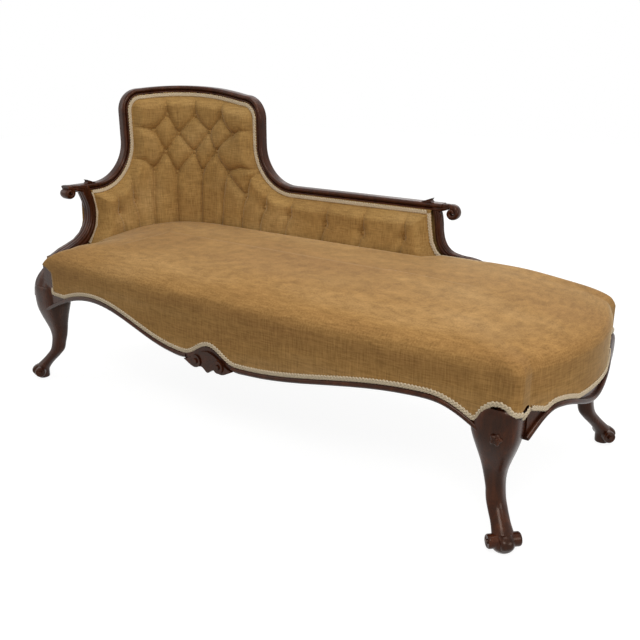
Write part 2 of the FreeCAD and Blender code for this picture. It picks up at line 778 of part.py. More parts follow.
head_rail_runs = (block_high, LEG_RUN - v.rear_leg_half)
rear_rail_runs = (LEG_RUN + v.rear_leg_half, END_RUN - block_high)
for name, (first, last) in (("head_end", head_rail_runs), ("rear", rear_rail_runs)):
    board = wall(first, last, block_low, facing_back, v.back_edge_z, v.frame_top)
    board = board.fuse(wall(first, last, facing_back, rail_back, v.frame_bottom, v.frame_top))
    bead = wall(first, last, -v.bead_proud, block_low, v.back_edge_z, v.back_edge_z + v.bead_tall)
    keep(name + "_seat_rail", board.fuse(bead).removeSplitter())

cover_low = v.back_edge_z + v.bead_tall + 4 * v.fit_gap
rear_gimp_outer = -v.cover_thick - v.fit_gap - v.gimp_thick
keep("outside_gimp", wall(block_high, run_of_x(v.seat_step_x), rear_gimp_outer, -v.cover_thick - v.fit_gap,
                          cover_low, cover_low + v.gimp_wide))


# Seat upholstery

SEAT_ROLL = [
    # depth below the crown, and take-in at the front, the foot end, the rear edge and the head side
    (73.0, 0.0, 0.0, 0.0, 0.0),
    (62.0, 2.0, 5.0, 1.0, 0.0),
    (49.0, 8.0, 18.0, 4.0, 1.0),
    (35.0, 24.0, 60.0, 9.0, 2.0),
    (23.0, 48.0, 130.0, 15.0, 6.0),
    (12.0, 84.0, 205.0, 21.0, 16.0),
    (4.0, 128.0, 275.0, 26.0, 34.0),
    (0.0, 172.0, 335.0, 30.0, 60.0),
]


def roll_at(drop):
    """Take-ins of the seat's rolled edges at a depth below the crown."""
    for upper, lower in zip(SEAT_ROLL[1:], SEAT_ROLL):
        if upper[0] <= drop <= lower[0]:
            part = (lower[0] - drop) / (lower[0] - upper[0])
            return [b + (a - b) * part for a, b in zip(upper[1:], lower[1:])]
    return SEAT_ROLL[0][1:]


def seat_outline(height, front, foot, rear, head, skin):
    """Level outline of the seat at one height, taken in all round by the skin."""
    a, b = block_high, long - block_high - foot
    y_foot, y_back = block_high + front, deep - block_high - rear
    bow = v.foot_bow * (1 - foot / 900)
    front, foot, rear = front + skin, foot + skin, rear + skin
    left = v.arm_support_thick + 4 + 0.4 * head + skin
    pad_line = v.pad_foot_depth + 4 * v.fit_gap + 0.3 * head + skin
    post_line = deep - v.end_support_thick - 4 - 5 * v.fit_gap - skin
    rear_line = deep - rear
    x1 = long - foot
    turn = v.corner_round + 0.35 * front
    step = min(v.seat_step_x - 0.5 * rear, x1 - v.corner_round - 2)
    r = v.head_corner_radius

    def p(x, y):
        return Vector(x, y, height)

    def round_corner(start, corner, end):
        lean = 1 - math.sqrt(0.5)
        mid = start * 0.5 + end * 0.5
        return Part.Arc(start, corner + (mid - corner) * 2 * lean, end).toShape()

    turn_a = (p(x1 - turn, front), p(x1, front), p(x1, front + turn))
    back_turn = v.corner_round
    turn_b = (p(x1, rear_line - back_turn), p(x1, rear_line), p(x1 - back_turn, rear_line))
    b = min(b, x1 - turn - 1)
    y_foot = max(y_foot, front + turn + 1)
    y_back = min(y_back, rear_line - back_turn - 1)
    head_arc = (p(r, deep - pad_line), p(r - (r - pad_line) * math.sqrt(0.5),
                STRAIGHT + (r - pad_line) * math.sqrt(0.5)), p(pad_line, STRAIGHT))
    shoulder_y = v.arm_pad_start - 6 - 0.4 * head - skin
    stops = [
        Part.makeLine(p(left, front), p(a, front)),
        Part.Arc(p(a, front), p((a + b) / 2, front - v.front_bow), p(b, front)).toShape(),
        Part.makeLine(p(b, front), turn_a[0]),
        round_corner(*turn_a),
        Part.makeLine(turn_a[2], p(x1, y_foot)),
        Part.Arc(p(x1, y_foot), p(x1 + bow, (y_foot + y_back) / 2), p(x1, y_back)).toShape(),
        Part.makeLine(p(x1, y_back), turn_b[0]),
        round_corner(*turn_b),
        Part.makeLine(turn_b[2], p(step, rear_line)),
        Part.makeLine(p(step, rear_line), p(step - 34, post_line)),
        Part.makeLine(p(step - 34, post_line), p(v.end_scroll_x - 14, post_line)),
        Part.makeLine(p(v.end_scroll_x - 14, post_line), p(v.end_scroll_x - 58, deep - pad_line)),
        Part.makeLine(p(v.end_scroll_x - 58, deep - pad_line), head_arc[0]),
        Part.Arc(*head_arc).toShape(),
        Part.makeLine(head_arc[2], p(pad_line, shoulder_y + 12)),
        Part.makeLine(p(pad_line, shoulder_y + 12), p(left, shoulder_y)),
        Part.makeLine(p(left, shoulder_y), p(left, front)),
    ]
    return Part.Wire(stops)


def seat_form(low, skin):
    """Seat shape from a level up to its crown, taken in and lowered by the skin."""
    wires = [seat_outline(low, *roll_at(v.seat_height - skin - low), skin)]
    for drop, front, foot, rear, head in SEAT_ROLL:
        height = v.seat_height - drop - skin
        if height > low + 1:
            wires.append(seat_outline(height, front, foot, rear, head, skin))
    return Part.makeLoft(wires, True, True)


skirt_low = v.leg_shoulder_z
cover = seat_form(skirt_low, 0.0).cut(seat_form(skirt_low - 10, v.cover_thick))
reach = v.front_bow + 30
below_line = gimp_low + 1.0
for span, along in ((front_span, "x"), (foot_span, "y")):
    prism = shaped_band(span[0], span[1], span[2], -200.0, below_line, along)
    if along == "x":
        prism = prism.common(box(0, long, -reach, block_high - 10, 0, v.frame_top))
    else:
        prism = prism.common(box(long - 40, long + 200, 0, deep, 0, v.frame_top))
    cover = cover.cut(prism)
over_block = knee_top + 1.0
tuck = PAD_FOOT
cover = cover.cut(box(-20, block_high + 3, -reach, deep, 0, tuck))
cover = cover.cut(box(-20, v.seat_step_x, block_high - 10, deep + 20, 0, tuck))
cover = cover.cut(box(long - block_high, long + 20, -reach, block_high, 0, over_block))
cover = cover.cut(box(long - block_high, long + 20, deep - block_high, deep + 20, 0, over_block))
cover = cover.cut(box(v.seat_step_x - 1, long - block_high, deep - 30, deep + 20, 0, cover_low + 1))
keep("seat_cover", cover)
stuff_skin = v.cover_thick + 3 * v.fit_gap
keep("seat_stuffing", seat_form(PAD_FOOT, stuff_skin))


# Frame inside: uprights of the back

def post(label, run, wide, low, high_left, high_right):
    """Straight upright with a sloped head, padded up from a sketch."""
    body = doc.addObject("PartDesign::Body", label)
    body.Label = label
    plane = [f for f in body.Origin.OriginFeatures if f.Role == "XZ_Plane"][0]
    sketch = body.newObject("Sketcher::SketchObject", label + "_side")
    sketch.AttachmentSupport = (plane, [""])
    sketch.MapMode = "FlatFace"
    right, left = high_right - low, high_left - low
    corners = [Vector(0, 0, 0), Vector(wide, 0, 0), Vector(wide, right, 0), Vector(0, left, 0)]
    for k in range(4):
        sketch.addGeometry(Part.LineSegment(corners[k], corners[(k + 1) % 4]), False)
    for k in range(4):
        sketch.addConstraint(Sketcher.Constraint("Coincident", k, 2, (k + 1) % 4, 1))
    sketch.addConstraint(Sketcher.Constraint("Coincident", 0, 1, -1, 1))
    sketch.addConstraint(Sketcher.Constraint("Horizontal", 0))
    sketch.addConstraint(Sketcher.Constraint("Vertical", 1))
    sketch.addConstraint(Sketcher.Constraint("Vertical", 3))
    sketch.addConstraint(Sketcher.Constraint("DistanceX", 0, 1, 0, 2, wide))
    sketch.renameConstraint(sketch.ConstraintCount - 1, "wide")
    sketch.setExpression("Constraints.wide", "Sizes.post_wide")
    sketch.addConstraint(Sketcher.Constraint("DistanceY", 1, 1, 1, 2, right))
    sketch.addConstraint(Sketcher.Constraint("DistanceY", 0, 1, 2, 2, left))
    pad_up = body.newObject("PartDesign::Pad", label + "_stock")
    pad_up.Profile = sketch
    pad_up.setExpression("Length", "Sizes.post_thick")
    body.Tip = pad_up
    face = tangent(run)
    bulge = wide ** 2 / (8 * v.head_corner_radius)
    base = at(run, v.fit_gap + bulge, low) - face * (wide / 2)
    turn = math.degrees(math.atan2(face.y, face.x))
    body.Placement = FreeCAD.Placement(base, FreeCAD.Rotation(Vector(0, 0, 1), turn))
    nodes.append(body)
    return body


def post_heads(run):
    """Heights under the tongue at the two sides of an upright."""
    half = v.post_wide / 2
    left, right = [line_height(TONGUE_LINE, run + k * half) for k in (-1, 1)]
    sag = 0.0
    for k in range(9):
        part = k / 8
        under = line_height(TONGUE_LINE, run - half + v.post_wide * part)
        sag = max(sag, left + (right - left) * part - under)
    return left - sag - v.cloth_gap, right - sag - v.cloth_gap


POST_RUNS = [
    ("head_front_upright", v.arm_pad_start + 26),
    ("left_hoop_upright", v.hoop_left - 30),
    ("head_corner_upright", LEG_RUN + 10),
    ("right_hoop_upright", v.hoop_right + 30),
    ("middle_back_upright", run_of_x(v.middle_post_x)),
    ("end_back_upright", v.long_pad_end - 30),
]
for name, run in POST_RUNS:
    post(name, run, v.post_wide, v.frame_top, *post_heads(run))

# Webbing and hessian of the back, and the cloth over its outside

BACK_STRIP_RUNS = [480.0, 680.0, 770.0, 870.0, 1120.0, 1220.0, 1430.0, 1540.0]
web_half = v.webbing_wide / 2
strips = []
for run in BACK_STRIP_RUNS:
    top = min(line_height(FACE_LINE, run - web_half), line_height(FACE_LINE, run + web_half)) - 4
    strips.append(wall(run - web_half, run + web_half, LAYER_WEBBING, LAYER_WEBBING + v.webbing_thick,
                       v.frame_top + 1, top))
keep("back_webbing", Part.makeCompound(strips))


def sheet_slices(runs, outer, inner, foot, top_of):
    """Cloth on the curved wall from a level, or its own foot line, up to a shaped top."""
    wires = []
    for run in runs:
        low, top = foot, top_of(run)
        corners = [at(run, outer, low), at(run, outer, top), at(run, inner, top), at(run, inner, low)]
        wires.append(Part.makePolygon(corners + corners[:1]))
    return Part.makeLoft(wires, True, True)


def even_runs(first, last, pitch):
    count = max(2, int(round((last - first) / pitch)) + 1)
    return [first + (last - first) * k / (count - 1) for k in range(count)]


def cloth_runs(first, last, pitch):
    """Runs for a cloth slice, closer where a stile bends near either end."""
    near = [first + k * k * 1.5 for k in range(1, 6)] + [last - k * k * 1.5 for k in range(1, 6)]
    runs = [run for run in even_runs(first, last, pitch) if all(abs(run - n) > 2 for n in near)]
    return sorted(runs + near)


cloth_parts = [(arm_first, arm_last), (hoop_first, hoop_last), (long_first, long_last)]
hessian = []
for first, last in cloth_parts:
    hessian.append(sheet_slices(cloth_runs(first + 1, last - 1, 14.0), LAYER_HESSIAN,
                                LAYER_HESSIAN + v.hessian_thick, v.frame_top + 1, pad_top))
keep("back_hessian", Part.makeCompound(hessian))


def support_edge(spine, origin, half, sign, to_run):
    """Edge of a support towards the padding, as laid-out points."""
    mid = smooth([Vector(origin[0] + a, origin[1] + b, 0) for a, b in spine])
    first, last = mid.ParameterRange
    points = []
    for k in range(33):
        u = first + (last - first) * k / 32
        p = mid.valueAt(u) + mid.tangentAt(u).cross(Vector(0, 0, 1)).normalize() * half * sign
        points.append(Vector(to_run(p.x), p.y, 0))
    return points


ARM_EDGE = support_edge(ARM_SPINE, (v.arm_scroll_y, v.arm_scroll_z), v.arm_band / 2, -1, lambda y: y)
END_EDGE = support_edge(END_SPINE, (v.end_scroll_x, v.end_scroll_z), v.end_band / 2, 1, run_of_x)


def outside_top(run):
    """Top of the outside cloth: under a support, under the rail, or on the seat rail."""
    if arm_last < run < hoop_first:
        run = arm_last
    if hoop_last < run < long_first:
        run = long_first
    tops = []
    for line in (ARM_EDGE, FACE_LINE, END_EDGE):
        reach = [p.x for p in line]
        if min(reach) <= run <= max(reach):
            tops.append(line_height(line, run))
    tops = tops or [v.frame_top]
    return max(min(tops), v.frame_top) - v.cloth_gap


waist_run = max(p.x for p in ARM_EDGE)
neck_run = min(p.x for p in END_EDGE)
tail_run = max(p.x for p in END_EDGE)
outside_runs = even_runs(block_high + 3, waist_run - 0.5, 9.0)
outside_runs += cloth_runs(waist_run + 0.5, arm_last, 12.0)
outside_runs += [hoop_first - v.cloth_gap / 2] + cloth_runs(hoop_first, hoop_last, 14.0)
outside_runs += [hoop_last + v.cloth_gap / 2]
outside_runs += cloth_runs(long_first, neck_run - 0.5, 20.0)
outside_runs += even_runs(neck_run + 0.5, tail_run - 0.5, 9.0)
outside_runs += [tail_run + 0.5, run_of_x(v.seat_step_x) - 3]
keep("outside_back_cover", sheet_slices(outside_runs, -v.cover_thick, 0.0, cover_low, outside_top))

# Braid over the cut edges of the back cover

braid_inset = LAYER_PAD + v.cover_thick + v.fit_gap
braid_line = [laid((arm_first + v.gimp_wide, v.arm_rail_top), LEFT_FOOT)]
braid_line += LEFT_LINE + CREST_LINE + RIGHT_LINE
braid_line.append(laid(RIGHT_FOOT, (long_last, v.back_rail_top)))
braid_start, braid_width = v.rail_face + v.fit_gap, v.gimp_wide - 2 * v.fit_gap
braid = [strip_section(p, n, braid_start, braid_width, braid_inset, v.gimp_thick)
         for p, n in offset_samples(braid_line, 9)]
keep("back_gimp", Part.makeLoft(braid, True))
down = [(arm_first + v.fit_gap, v.arm_rail_top), (long_last - v.gimp_wide, v.back_rail_top)]
ends = [wall(run, run + v.gimp_wide - v.fit_gap, braid_inset, braid_inset + v.gimp_thick,
             v.seat_height + 2, top - v.rail_face - v.gimp_wide * (k > 0) - 1)
        for k, (run, top) in enumerate(down)]
keep("back_end_gimps", Part.makeCompound(ends))


# Covered buttons pulled into the back

def button(run, height, cover):
    """Domed button, brought in along its axis until it rests in the dent of a cover."""
    base = at(run, v.pad_foot_depth + v.button_thick, height)
    axis = at(run, v.pad_foot_depth + 100, height) - base
    axis.normalize()
    ball = 1.6 * v.button_radius
    sink = ball - v.button_thick
    disc = Part.makeCylinder(v.button_radius, 2 * v.button_thick, base, axis)
    dome = disc.common(Part.makeSphere(ball, base - axis * sink))
    near = cover.common(Part.makeSphere(2 * v.pleat_wide, base))
    for step in range(4):
        dome.translate(axis * (v.fit_gap - dome.distToShape(near)[0]))
    return dome


covers = {thing.Label: thing.Shape for thing in nodes if thing.Label.endswith("_pad_cover")}
buttons = [button(*STILE_BUTTON, covers["head_pad_cover"])]
for name, marks in (("arm_pad_cover", ARM_BUTTONS), ("long_pad_cover", LONG_BUTTONS)):
    buttons += [button(run, height, covers[name]) for run, height in marks]
for row, (height, stops) in enumerate(HOOP_ROWS):
    place = 4 + 2 * (len(HOOP_ROWS) - 1 - row)
    for run in stops:
        level = hoop_slice(run, hoop_first, hoop_last, hoop_ends)[0][place]
        buttons.append(button(run, level, covers["head_pad_cover"]))
keep("back_buttons", Part.makeCompound(buttons))


# Seat support: webbing, springs, hessian and the cloth underneath

def bound(kind, label, **cells):
    """Primitive whose sizes follow the sheet."""
    piece = doc.addObject("Part::" + kind, label)
    for name, rule in cells.items():
        piece.setExpression(name, rule)
    return piece


def group(label, pieces):
    """Several alike pieces kept as one sub-part."""
    whole = doc.addObject("Part::Compound", label)
    whole.Label = label
    whole.Links = pieces
    nodes.append(whole)
    return whole


def pitch_marks(first, last, count):
    return [first + (last - first) * k / (count - 1) for k in range(count)]


inside = facing_back + v.fit_gap
cross_marks = pitch_marks(block_high + 2.7 * v.webbing_wide, long - block_high - 2 * v.webbing_wide, 12)
strips = []
for k, x in enumerate(cross_marks):
    strip = bound("Box", "cross_strip_%d" % k, Length="Sizes.webbing_wide", Height="Sizes.webbing_thick",
                  Width="Sizes.leg_span_deep - %r" % (2 * inside + 2))
    rear = deep - inside - 1
    if x - web_half < v.head_corner_radius:
        across = v.head_corner_radius - (x - web_half)
        rear = STRAIGHT + math.sqrt((v.head_corner_radius - rail_front) ** 2 - across ** 2) - 1
        strip.setExpression("Width", None)
        strip.Width = rear - inside - 1
    strip.Placement.Base = Vector(x - web_half, inside + 1, v.frame_bottom - v.webbing_thick)
    strips.append(strip)
group("seat_webbing_cross", strips)
strips = []
for k, y in enumerate(pitch_marks(2 * v.webbing_wide, deep - 3.7 * v.webbing_wide, 5)):
    strip = bound("Box", "long_strip_%d" % k, Width="Sizes.webbing_wide", Height="Sizes.webbing_thick")
    start = inside + 1
    if y + web_half > STRAIGHT:
        reach_in = math.sqrt((v.head_corner_radius - rail_front) ** 2 - (y + web_half - STRAIGHT) ** 2)
        start = v.head_corner_radius - reach_in + 1
    strip.Length = long - inside - 1 - start
    strip.Placement.Base = Vector(start, y - web_half, v.frame_bottom - 2 * v.webbing_thick)
    strips.append(strip)
group("seat_webbing_long", strips)


def seat_sheet(edge, low, high):
    """Flat cloth under or over the seat frame, following its plan."""
    r = v.head_corner_radius - edge
    lean = math.sqrt(0.5)
    c = Vector(v.head_corner_radius, STRAIGHT, low)
    y0, y1, x1 = edge, deep - edge, long - edge
    mid = Vector(long - edge + v.foot_bow, deep / 2, low)
    block = block_high + 2
    stops = [
        Part.makeLine(Vector(block, y0, low), Vector(long - block, y0, low)),
        Part.makeLine(Vector(long - block, y0, low), Vector(long - block, block, low)),
        Part.makeLine(Vector(long - block, block, low), Vector(x1, block, low)),
        Part.Arc(Vector(x1, block, low), mid, Vector(x1, deep - block, low)).toShape(),
        Part.makeLine(Vector(x1, deep - block, low), Vector(long - block, deep - block, low)),
        Part.makeLine(Vector(long - block, deep - block, low), Vector(long - block, y1, low)),
        Part.makeLine(Vector(long - block, y1, low), Vector(c.x, y1, low)),
        Part.Arc(Vector(c.x, y1, low), c + Vector(-r * lean, r * lean, 0), Vector(edge, c.y, low)).toShape(),
        Part.makeLine(Vector(edge, c.y, low), Vector(edge, block, low)),
        Part.makeLine(Vector(edge, block, low), Vector(block, block, low)),
        Part.makeLine(Vector(block, block, low), Vector(block, y0, low)),
    ]
    return Part.Face(Part.Wire(stops)).extrude(Vector(0, 0, high - low))


web_low = v.frame_bottom - 2 * v.webbing_thick
dust = seat_sheet(rail_back + 2, web_low - v.fit_gap - v.dust_thick, web_low - v.fit_gap)
leg_place = at(LEG_RUN, block_high * 0.7, 0)
keep("dust_cover", dust.cut(Part.makeCylinder(block_high + 4, v.frame_top, leg_place)))
hessian_low = v.frame_top + v.fit_gap
over_frame = seat_sheet(rail_front + 8, hessian_low, hessian_low + v.hessian_thick)
under, over = hessian_low - 5, hessian_low + 5
support_side = box(-20, v.arm_support_thick + 6, 0, deep, under, over)
end_side = box(0, v.seat_step_x, deep - v.end_support_thick - 10, deep + 20, under, over)
open_rear = wall(0, run_of_x(v.end_scroll_x - 60), -20, v.pad_foot_depth + 2, under, over)
keep("spring_hessian", over_frame.cut(open_rear).cut(support_side).cut(end_side))


def spring():
    """One open coil standing on the webbing, its ends a wire clear of the cloth."""
    wire = v.spring_wire / 2
    low = v.frame_bottom + v.fit_gap + wire
    tall = v.frame_top - v.fit_gap - wire - low
    half_turns = int(2 * v.spring_turns)
    r = v.spring_radius
    edges = []
    per_arc = 2
    count = half_turns * per_arc
    points = []
    for k in range(2 * count + 1):
        turn = math.pi * k / (2 * per_arc)
        points.append(Vector(r * math.cos(turn), r * math.sin(turn), low + tall * k / (2 * count)))
    for k in range(0, 2 * count, 2):
        edges.append(Part.Arc(points[k], points[k + 1], points[k + 2]).toShape())
    along = edges[0].tangentAt(edges[0].FirstParameter)
    out = along.cross(Z).normalize()
    up = out.cross(along).normalize()
    turn = 2 * math.pi / v.wire_sides
    corner = wire * math.sqrt(turn / math.sin(turn))
    corners = [points[0] + out * (corner * math.cos(k * turn)) + up * (corner * math.sin(k * turn))
               for k in range(int(v.wire_sides))]
    return Part.Wire(edges).makePipeShell([Part.makePolygon(corners + corners[:1])], True, False)


one_spring = spring()
coils = []
for x in pitch_marks(cross_marks[0] + 60, cross_marks[-1] - 20, 8):
    for y in pitch_marks(2.6 * v.webbing_wide, deep - 3.6 * v.webbing_wide, 3):
        coil = one_spring.copy()
        coil.translate(Vector(x, y, 0))
        coils.append(coil)
keep("seat_springs", Part.makeCompound(coils))


# Glued corner blocks, screws and dowels

def drill(label, *cutters):
    """Take a hole out of a sub-part for what is driven into it."""
    for thing in nodes:
        if thing.Label == label:
            thing.Shape = thing.Shape.cut(list(cutters))


def corner_block(corner, sx, sy):
    """Block across an inner corner of the frame, round the leg's square."""
    near, step, far = rail_back + v.fit_gap, block_high + v.fit_gap, v.corner_block_reach
    outline = [(near, step), (near, far), (far, near), (step, near), (step, step)]
    points = [corner + Vector(sx * a, sy * b, v.block_low) for a, b in outline]
    return Part.Face(Part.makePolygon(points + points[:1])).extrude(Vector(0, 0, v.block_tall))


def screw(head, axis):
    """Countersunk wood screw lying along an axis, head first."""
    r = v.screw_radius
    shank = Part.makeCylinder(r, v.screw_length, head, axis)
    return shank.fuse(Part.makeCone(2 * r, r, r, head, axis)).removeSplitter()


blocks, screws, cutters = [], [], []
seat_corners = [(Vector(0, 0, 0), 1, 1), (Vector(long, 0, 0), -1, 1), (Vector(long, deep, 0), -1, -1)]
for corner, sx, sy in seat_corners:
    block = corner_block(corner, sx, sy)
    spot = (rail_back + v.corner_block_reach) / 2 + 4
    deep_in = rail_back + v.corner_block_reach - spot - 8
    for side in (0, 1):
        along = (spot, deep_in) if side == 0 else (deep_in, spot)
        axis = Vector(0, -sy, 0) if side == 0 else Vector(-sx, 0, 0)
        level = v.block_low + v.block_tall * (0.35 + 0.3 * side)
        head = corner + Vector(sx * along[0], sy * along[1], level)
        hole = v.screw_radius + v.fit_gap / 3
        cutters.append(Part.makeCylinder(hole, v.screw_length + 1, head, axis))
        cutters.append(Part.makeCylinder(2 * v.screw_radius + v.fit_gap, 30, head + axis * 3, axis * -1))
        screws.append(screw(head, axis))
    blocks.append(block)
blocks = [block.cut(cutters) for block in blocks]
keep("corner_blocks", Part.makeCompound(blocks))
keep("corner_block_screws", Part.makeCompound(screws))
for label in ("front_seat_rail", "foot_end_seat_rail", "head_end_seat_rail", "rear_seat_rail"):
    drill(label, *cutters)


def dowel(label, centre, axis):
    """Round dowel centred on a joint, and the hole cut for it."""
    peg = bound("Cylinder", label, Radius="Sizes.dowel_radius", Height="Sizes.dowel_length")
    start = centre - axis * (v.dowel_length / 2)
    peg.Placement = FreeCAD.Placement(start, FreeCAD.Rotation(Vector(0, 0, 1), axis))
    hole = Part.makeCylinder(v.dowel_radius + v.fit_gap / 3, v.dowel_length + 1, start - axis * 0.5, axis)
    return peg, hole


mid_rail = (rail_front + rail_back) / 2
end_left, end_right = head_rail_runs[1], rear_rail_runs[0]
seat_joints = [
    ("front_seat_rail", "front_left_leg", Vector(block_high, mid_rail, 0), X),
    ("front_seat_rail", "front_right_leg", Vector(long - block_high, mid_rail, 0), X),
    ("foot_end_seat_rail", "front_right_leg", Vector(long - mid_rail, block_high, 0), Y),
    ("foot_end_seat_rail", "rear_right_leg", Vector(long - mid_rail, deep - block_high, 0), Y),
    ("rear_seat_rail", "rear_right_leg", Vector(long - block_high, deep - mid_rail, 0), X),
    ("rear_seat_rail", "rear_left_leg", at(end_right, mid_rail, 0), tangent(end_right)),
    ("head_end_seat_rail", "rear_left_leg", at(end_left, mid_rail, 0), tangent(end_left)),
    ("head_end_seat_rail", "front_left_leg", Vector(mid_rail, block_high, 0), Y),
]
pegs = []
for k, (rail, leg_name, spot, axis) in enumerate(seat_joints):
    for level in (v.frame_bottom + v.dowel_edge, v.frame_top - v.dowel_edge):
        peg, hole = dowel("rail_dowel_%d" % len(pegs), spot + Z * level, axis)
        pegs.append(peg)
        drill(rail, hole)
        drill(leg_name, hole)
group("seat_rail_dowels", pegs)

rail_mid = v.rail_depth / 2
face_mid = v.rail_face / 2
back_joints = [
    ("arm_rail", "left_hoop_stile", at(LEFT_FOOT[0], rail_mid, LEFT_FOOT[1] - face_mid), Y),
    ("left_hoop_stile", "crest_rail", at(LEFT_SPLIT[0] + face_mid, rail_mid, LEFT_SPLIT[1]), Z),
    ("crest_rail", "right_hoop_stile", at(RIGHT_SPLIT[0] - face_mid, rail_mid, RIGHT_SPLIT[1]), Z),
    ("right_hoop_stile", "back_rail", at(RIGHT_FOOT[0], rail_mid, RIGHT_FOOT[1] - face_mid), X),
]
pegs = []
for one, other, spot, axis in back_joints:
    peg, hole = dowel("back_dowel_%d" % len(pegs), spot, axis)
    pegs.append(peg)
    drill(one, hole)
    drill(other, hole)
group("back_rail_dowels", pegs)


# Carving: cartouche under the front rail and a leaf behind each scroll

def cartouche():
    """Carved double scroll with a hanging tongue, filling the arch of the front rail."""
    half, drop = v.cartouche_half - 6, v.cartouche_drop
    x = v.dip_x
    y0 = block_low - v.front_bow - 2 * v.bead_proud - 4
    marks = [x - half + 2 * half * k / 16 for k in range(17)]
    top = smooth([Vector(m, y0, front_edge(m) - v.fit_gap) for m in marks])
    low = v.dip_z - drop
    half_shape = [(0.22, 12), (0.5, 6), (0.82, 14), (1.0, None)]
    shape = [(-part, rise) for part, rise in half_shape[::-1]] + [(0.0, 0)] + half_shape
    points = []
    for part, rise in shape[::-1]:
        mark = x + part * half
        height = front_edge(mark) - v.fit_gap if rise is None else low + rise
        points.append(Vector(mark, y0, height))
    under = smooth(points)
    body = Part.Face(Part.Wire([top, under])).extrude(Vector(0, v.cartouche_thick, 0))
    pieces = []
    for side in (-1, 1):
        eye = Vector(x + side * half * 0.46, y0 - 4, v.dip_z + 4)
        pieces.append(Part.makeCylinder(drop * 0.8, 5, eye, Y))
        pieces.append(Part.makeCylinder(drop * 0.35, 9, eye - Y * 4, Y))
    return body.fuse(pieces).removeSplitter()


keep("rail_cartouche", cartouche())


def leaf(root, side, top):
    """Small pointed leaf lying on the rail and lifting towards the scroll."""
    outline = [(0, 0), (18, 7), (34, 13), (30, 6), (36, 0)]
    inset = v.rail_depth / 6
    points = [at(root + side * a, inset, top + b) for a, b in outline]
    face = Part.Face(Part.makePolygon(points + points[:1]))
    return face.extrude(at(root, v.rail_depth - inset, 0) - at(root, inset, 0))


leaves = [leaf(v.arm_pad_start + 8, -1, v.arm_rail_top), leaf(RAIL_END[0] - 70, 1, v.back_rail_top)]
keep("rail_leaves", Part.makeCompound(leaves))

# Move the whole part so that its box stands centred on the origin, then check and write it

doc.recompute()
sheet_faults = [thing.Label for thing in doc.Objects if {"Invalid", "Error"} & set(thing.State)]
shape_faults = [node.Label for node in nodes if node.Shape.isNull() or not node.Shape.isValid()]
if sheet_faults or shape_faults:
    raise SystemExit("not built: %s %s" % (sheet_faults, shape_faults))
whole = nodes[0].Shape.BoundBox
for node in nodes[1:]:
    whole.add(node.Shape.BoundBox)
shift = Vector(-whole.Center.x, -whole.Center.y, -whole.ZMin)
for node in nodes:
    node.Placement = FreeCAD.Placement(shift, FreeCAD.Rotation()).multiply(node.Placement)
doc.recompute()
os.makedirs("parts", exist_ok=True)
for node in nodes:
    node.Shape.exportStep("parts/%s.step" % node.Label)
print("sub-parts", len(nodes), "size", [round(k, 1) for k in (whole.XLength, whole.YLength, whole.ZLength)])
print("shift", [round(k, 3) for k in shift])
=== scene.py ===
import json
import math

import bpy
import bmesh
import numpy as np
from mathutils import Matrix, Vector

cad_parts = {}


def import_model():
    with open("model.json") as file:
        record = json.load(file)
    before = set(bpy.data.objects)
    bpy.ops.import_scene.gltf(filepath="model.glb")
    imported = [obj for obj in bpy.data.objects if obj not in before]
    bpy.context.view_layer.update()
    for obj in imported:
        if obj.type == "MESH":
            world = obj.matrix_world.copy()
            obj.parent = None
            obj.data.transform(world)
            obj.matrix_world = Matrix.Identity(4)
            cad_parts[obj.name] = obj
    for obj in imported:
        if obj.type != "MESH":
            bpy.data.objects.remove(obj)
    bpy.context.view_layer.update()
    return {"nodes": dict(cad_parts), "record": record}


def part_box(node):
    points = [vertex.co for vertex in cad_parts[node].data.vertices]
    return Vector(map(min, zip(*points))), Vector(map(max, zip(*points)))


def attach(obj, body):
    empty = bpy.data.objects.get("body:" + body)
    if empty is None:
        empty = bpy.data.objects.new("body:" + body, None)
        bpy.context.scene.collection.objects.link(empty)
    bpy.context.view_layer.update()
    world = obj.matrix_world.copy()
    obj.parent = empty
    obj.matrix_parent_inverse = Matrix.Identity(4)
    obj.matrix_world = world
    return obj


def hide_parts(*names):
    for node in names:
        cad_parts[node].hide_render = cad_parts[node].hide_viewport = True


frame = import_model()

NODES = frame["nodes"]

# The workshop frame of the plan: millimetres from the outer faces of the seat frame and the floor.
# Its shift to the row frame is read from the front seat rail, which ends against the left leg block.
LONG, DEEP, CORNER = 1680.0, 646.0, 300.0
STRAIGHT = DEEP - CORNER
QUARTER = CORNER * math.pi / 2
BLOCK = 58.0
RAIL_BACK = 45.1
RAIL_LOW, RAIL_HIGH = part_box("front_seat_rail")
SHIFT = Vector((RAIL_LOW.x - BLOCK / 1000, RAIL_HIGH.y - RAIL_BACK / 1000, 0.0))
UP, EAST, NORTH = Vector((0, 0, 1)), Vector((1, 0, 0)), Vector((0, 1, 0))


def world(x, y, z):
    """Row-frame point of a workshop point."""
    return Vector((x / 1000, y / 1000, z / 1000)) + SHIFT


def workshop(point):
    """Workshop point of a row-frame point."""
    return (point - SHIFT) * 1000


def at(run, inset, z):
    """Row-frame point on the wrapped back: run along it, inset towards the sitter, height."""
    if run <= STRAIGHT:
        return world(inset, run, z)
    if run >= STRAIGHT + QUARTER:
        return world(CORNER + run - STRAIGHT - QUARTER, DEEP - inset, z)
    turn = (run - STRAIGHT) / CORNER
    r = CORNER - inset
    return world(CORNER - r * math.cos(turn), STRAIGHT + r * math.sin(turn), z)


def run_of_x(x):
    """Run along the wrapped back of a place on its straight rear side."""
    return STRAIGHT + QUARTER + x - CORNER


def read_off(table, value):
    """Value between the rows of a table of pairs."""
    return np.interp(value, [pair[0] for pair in table], [pair[1] for pair in table])


def turns(count):
    """Angles of a full turn in equal steps."""
    return [2 * math.pi * k / count for k in range(count)]


# Materials

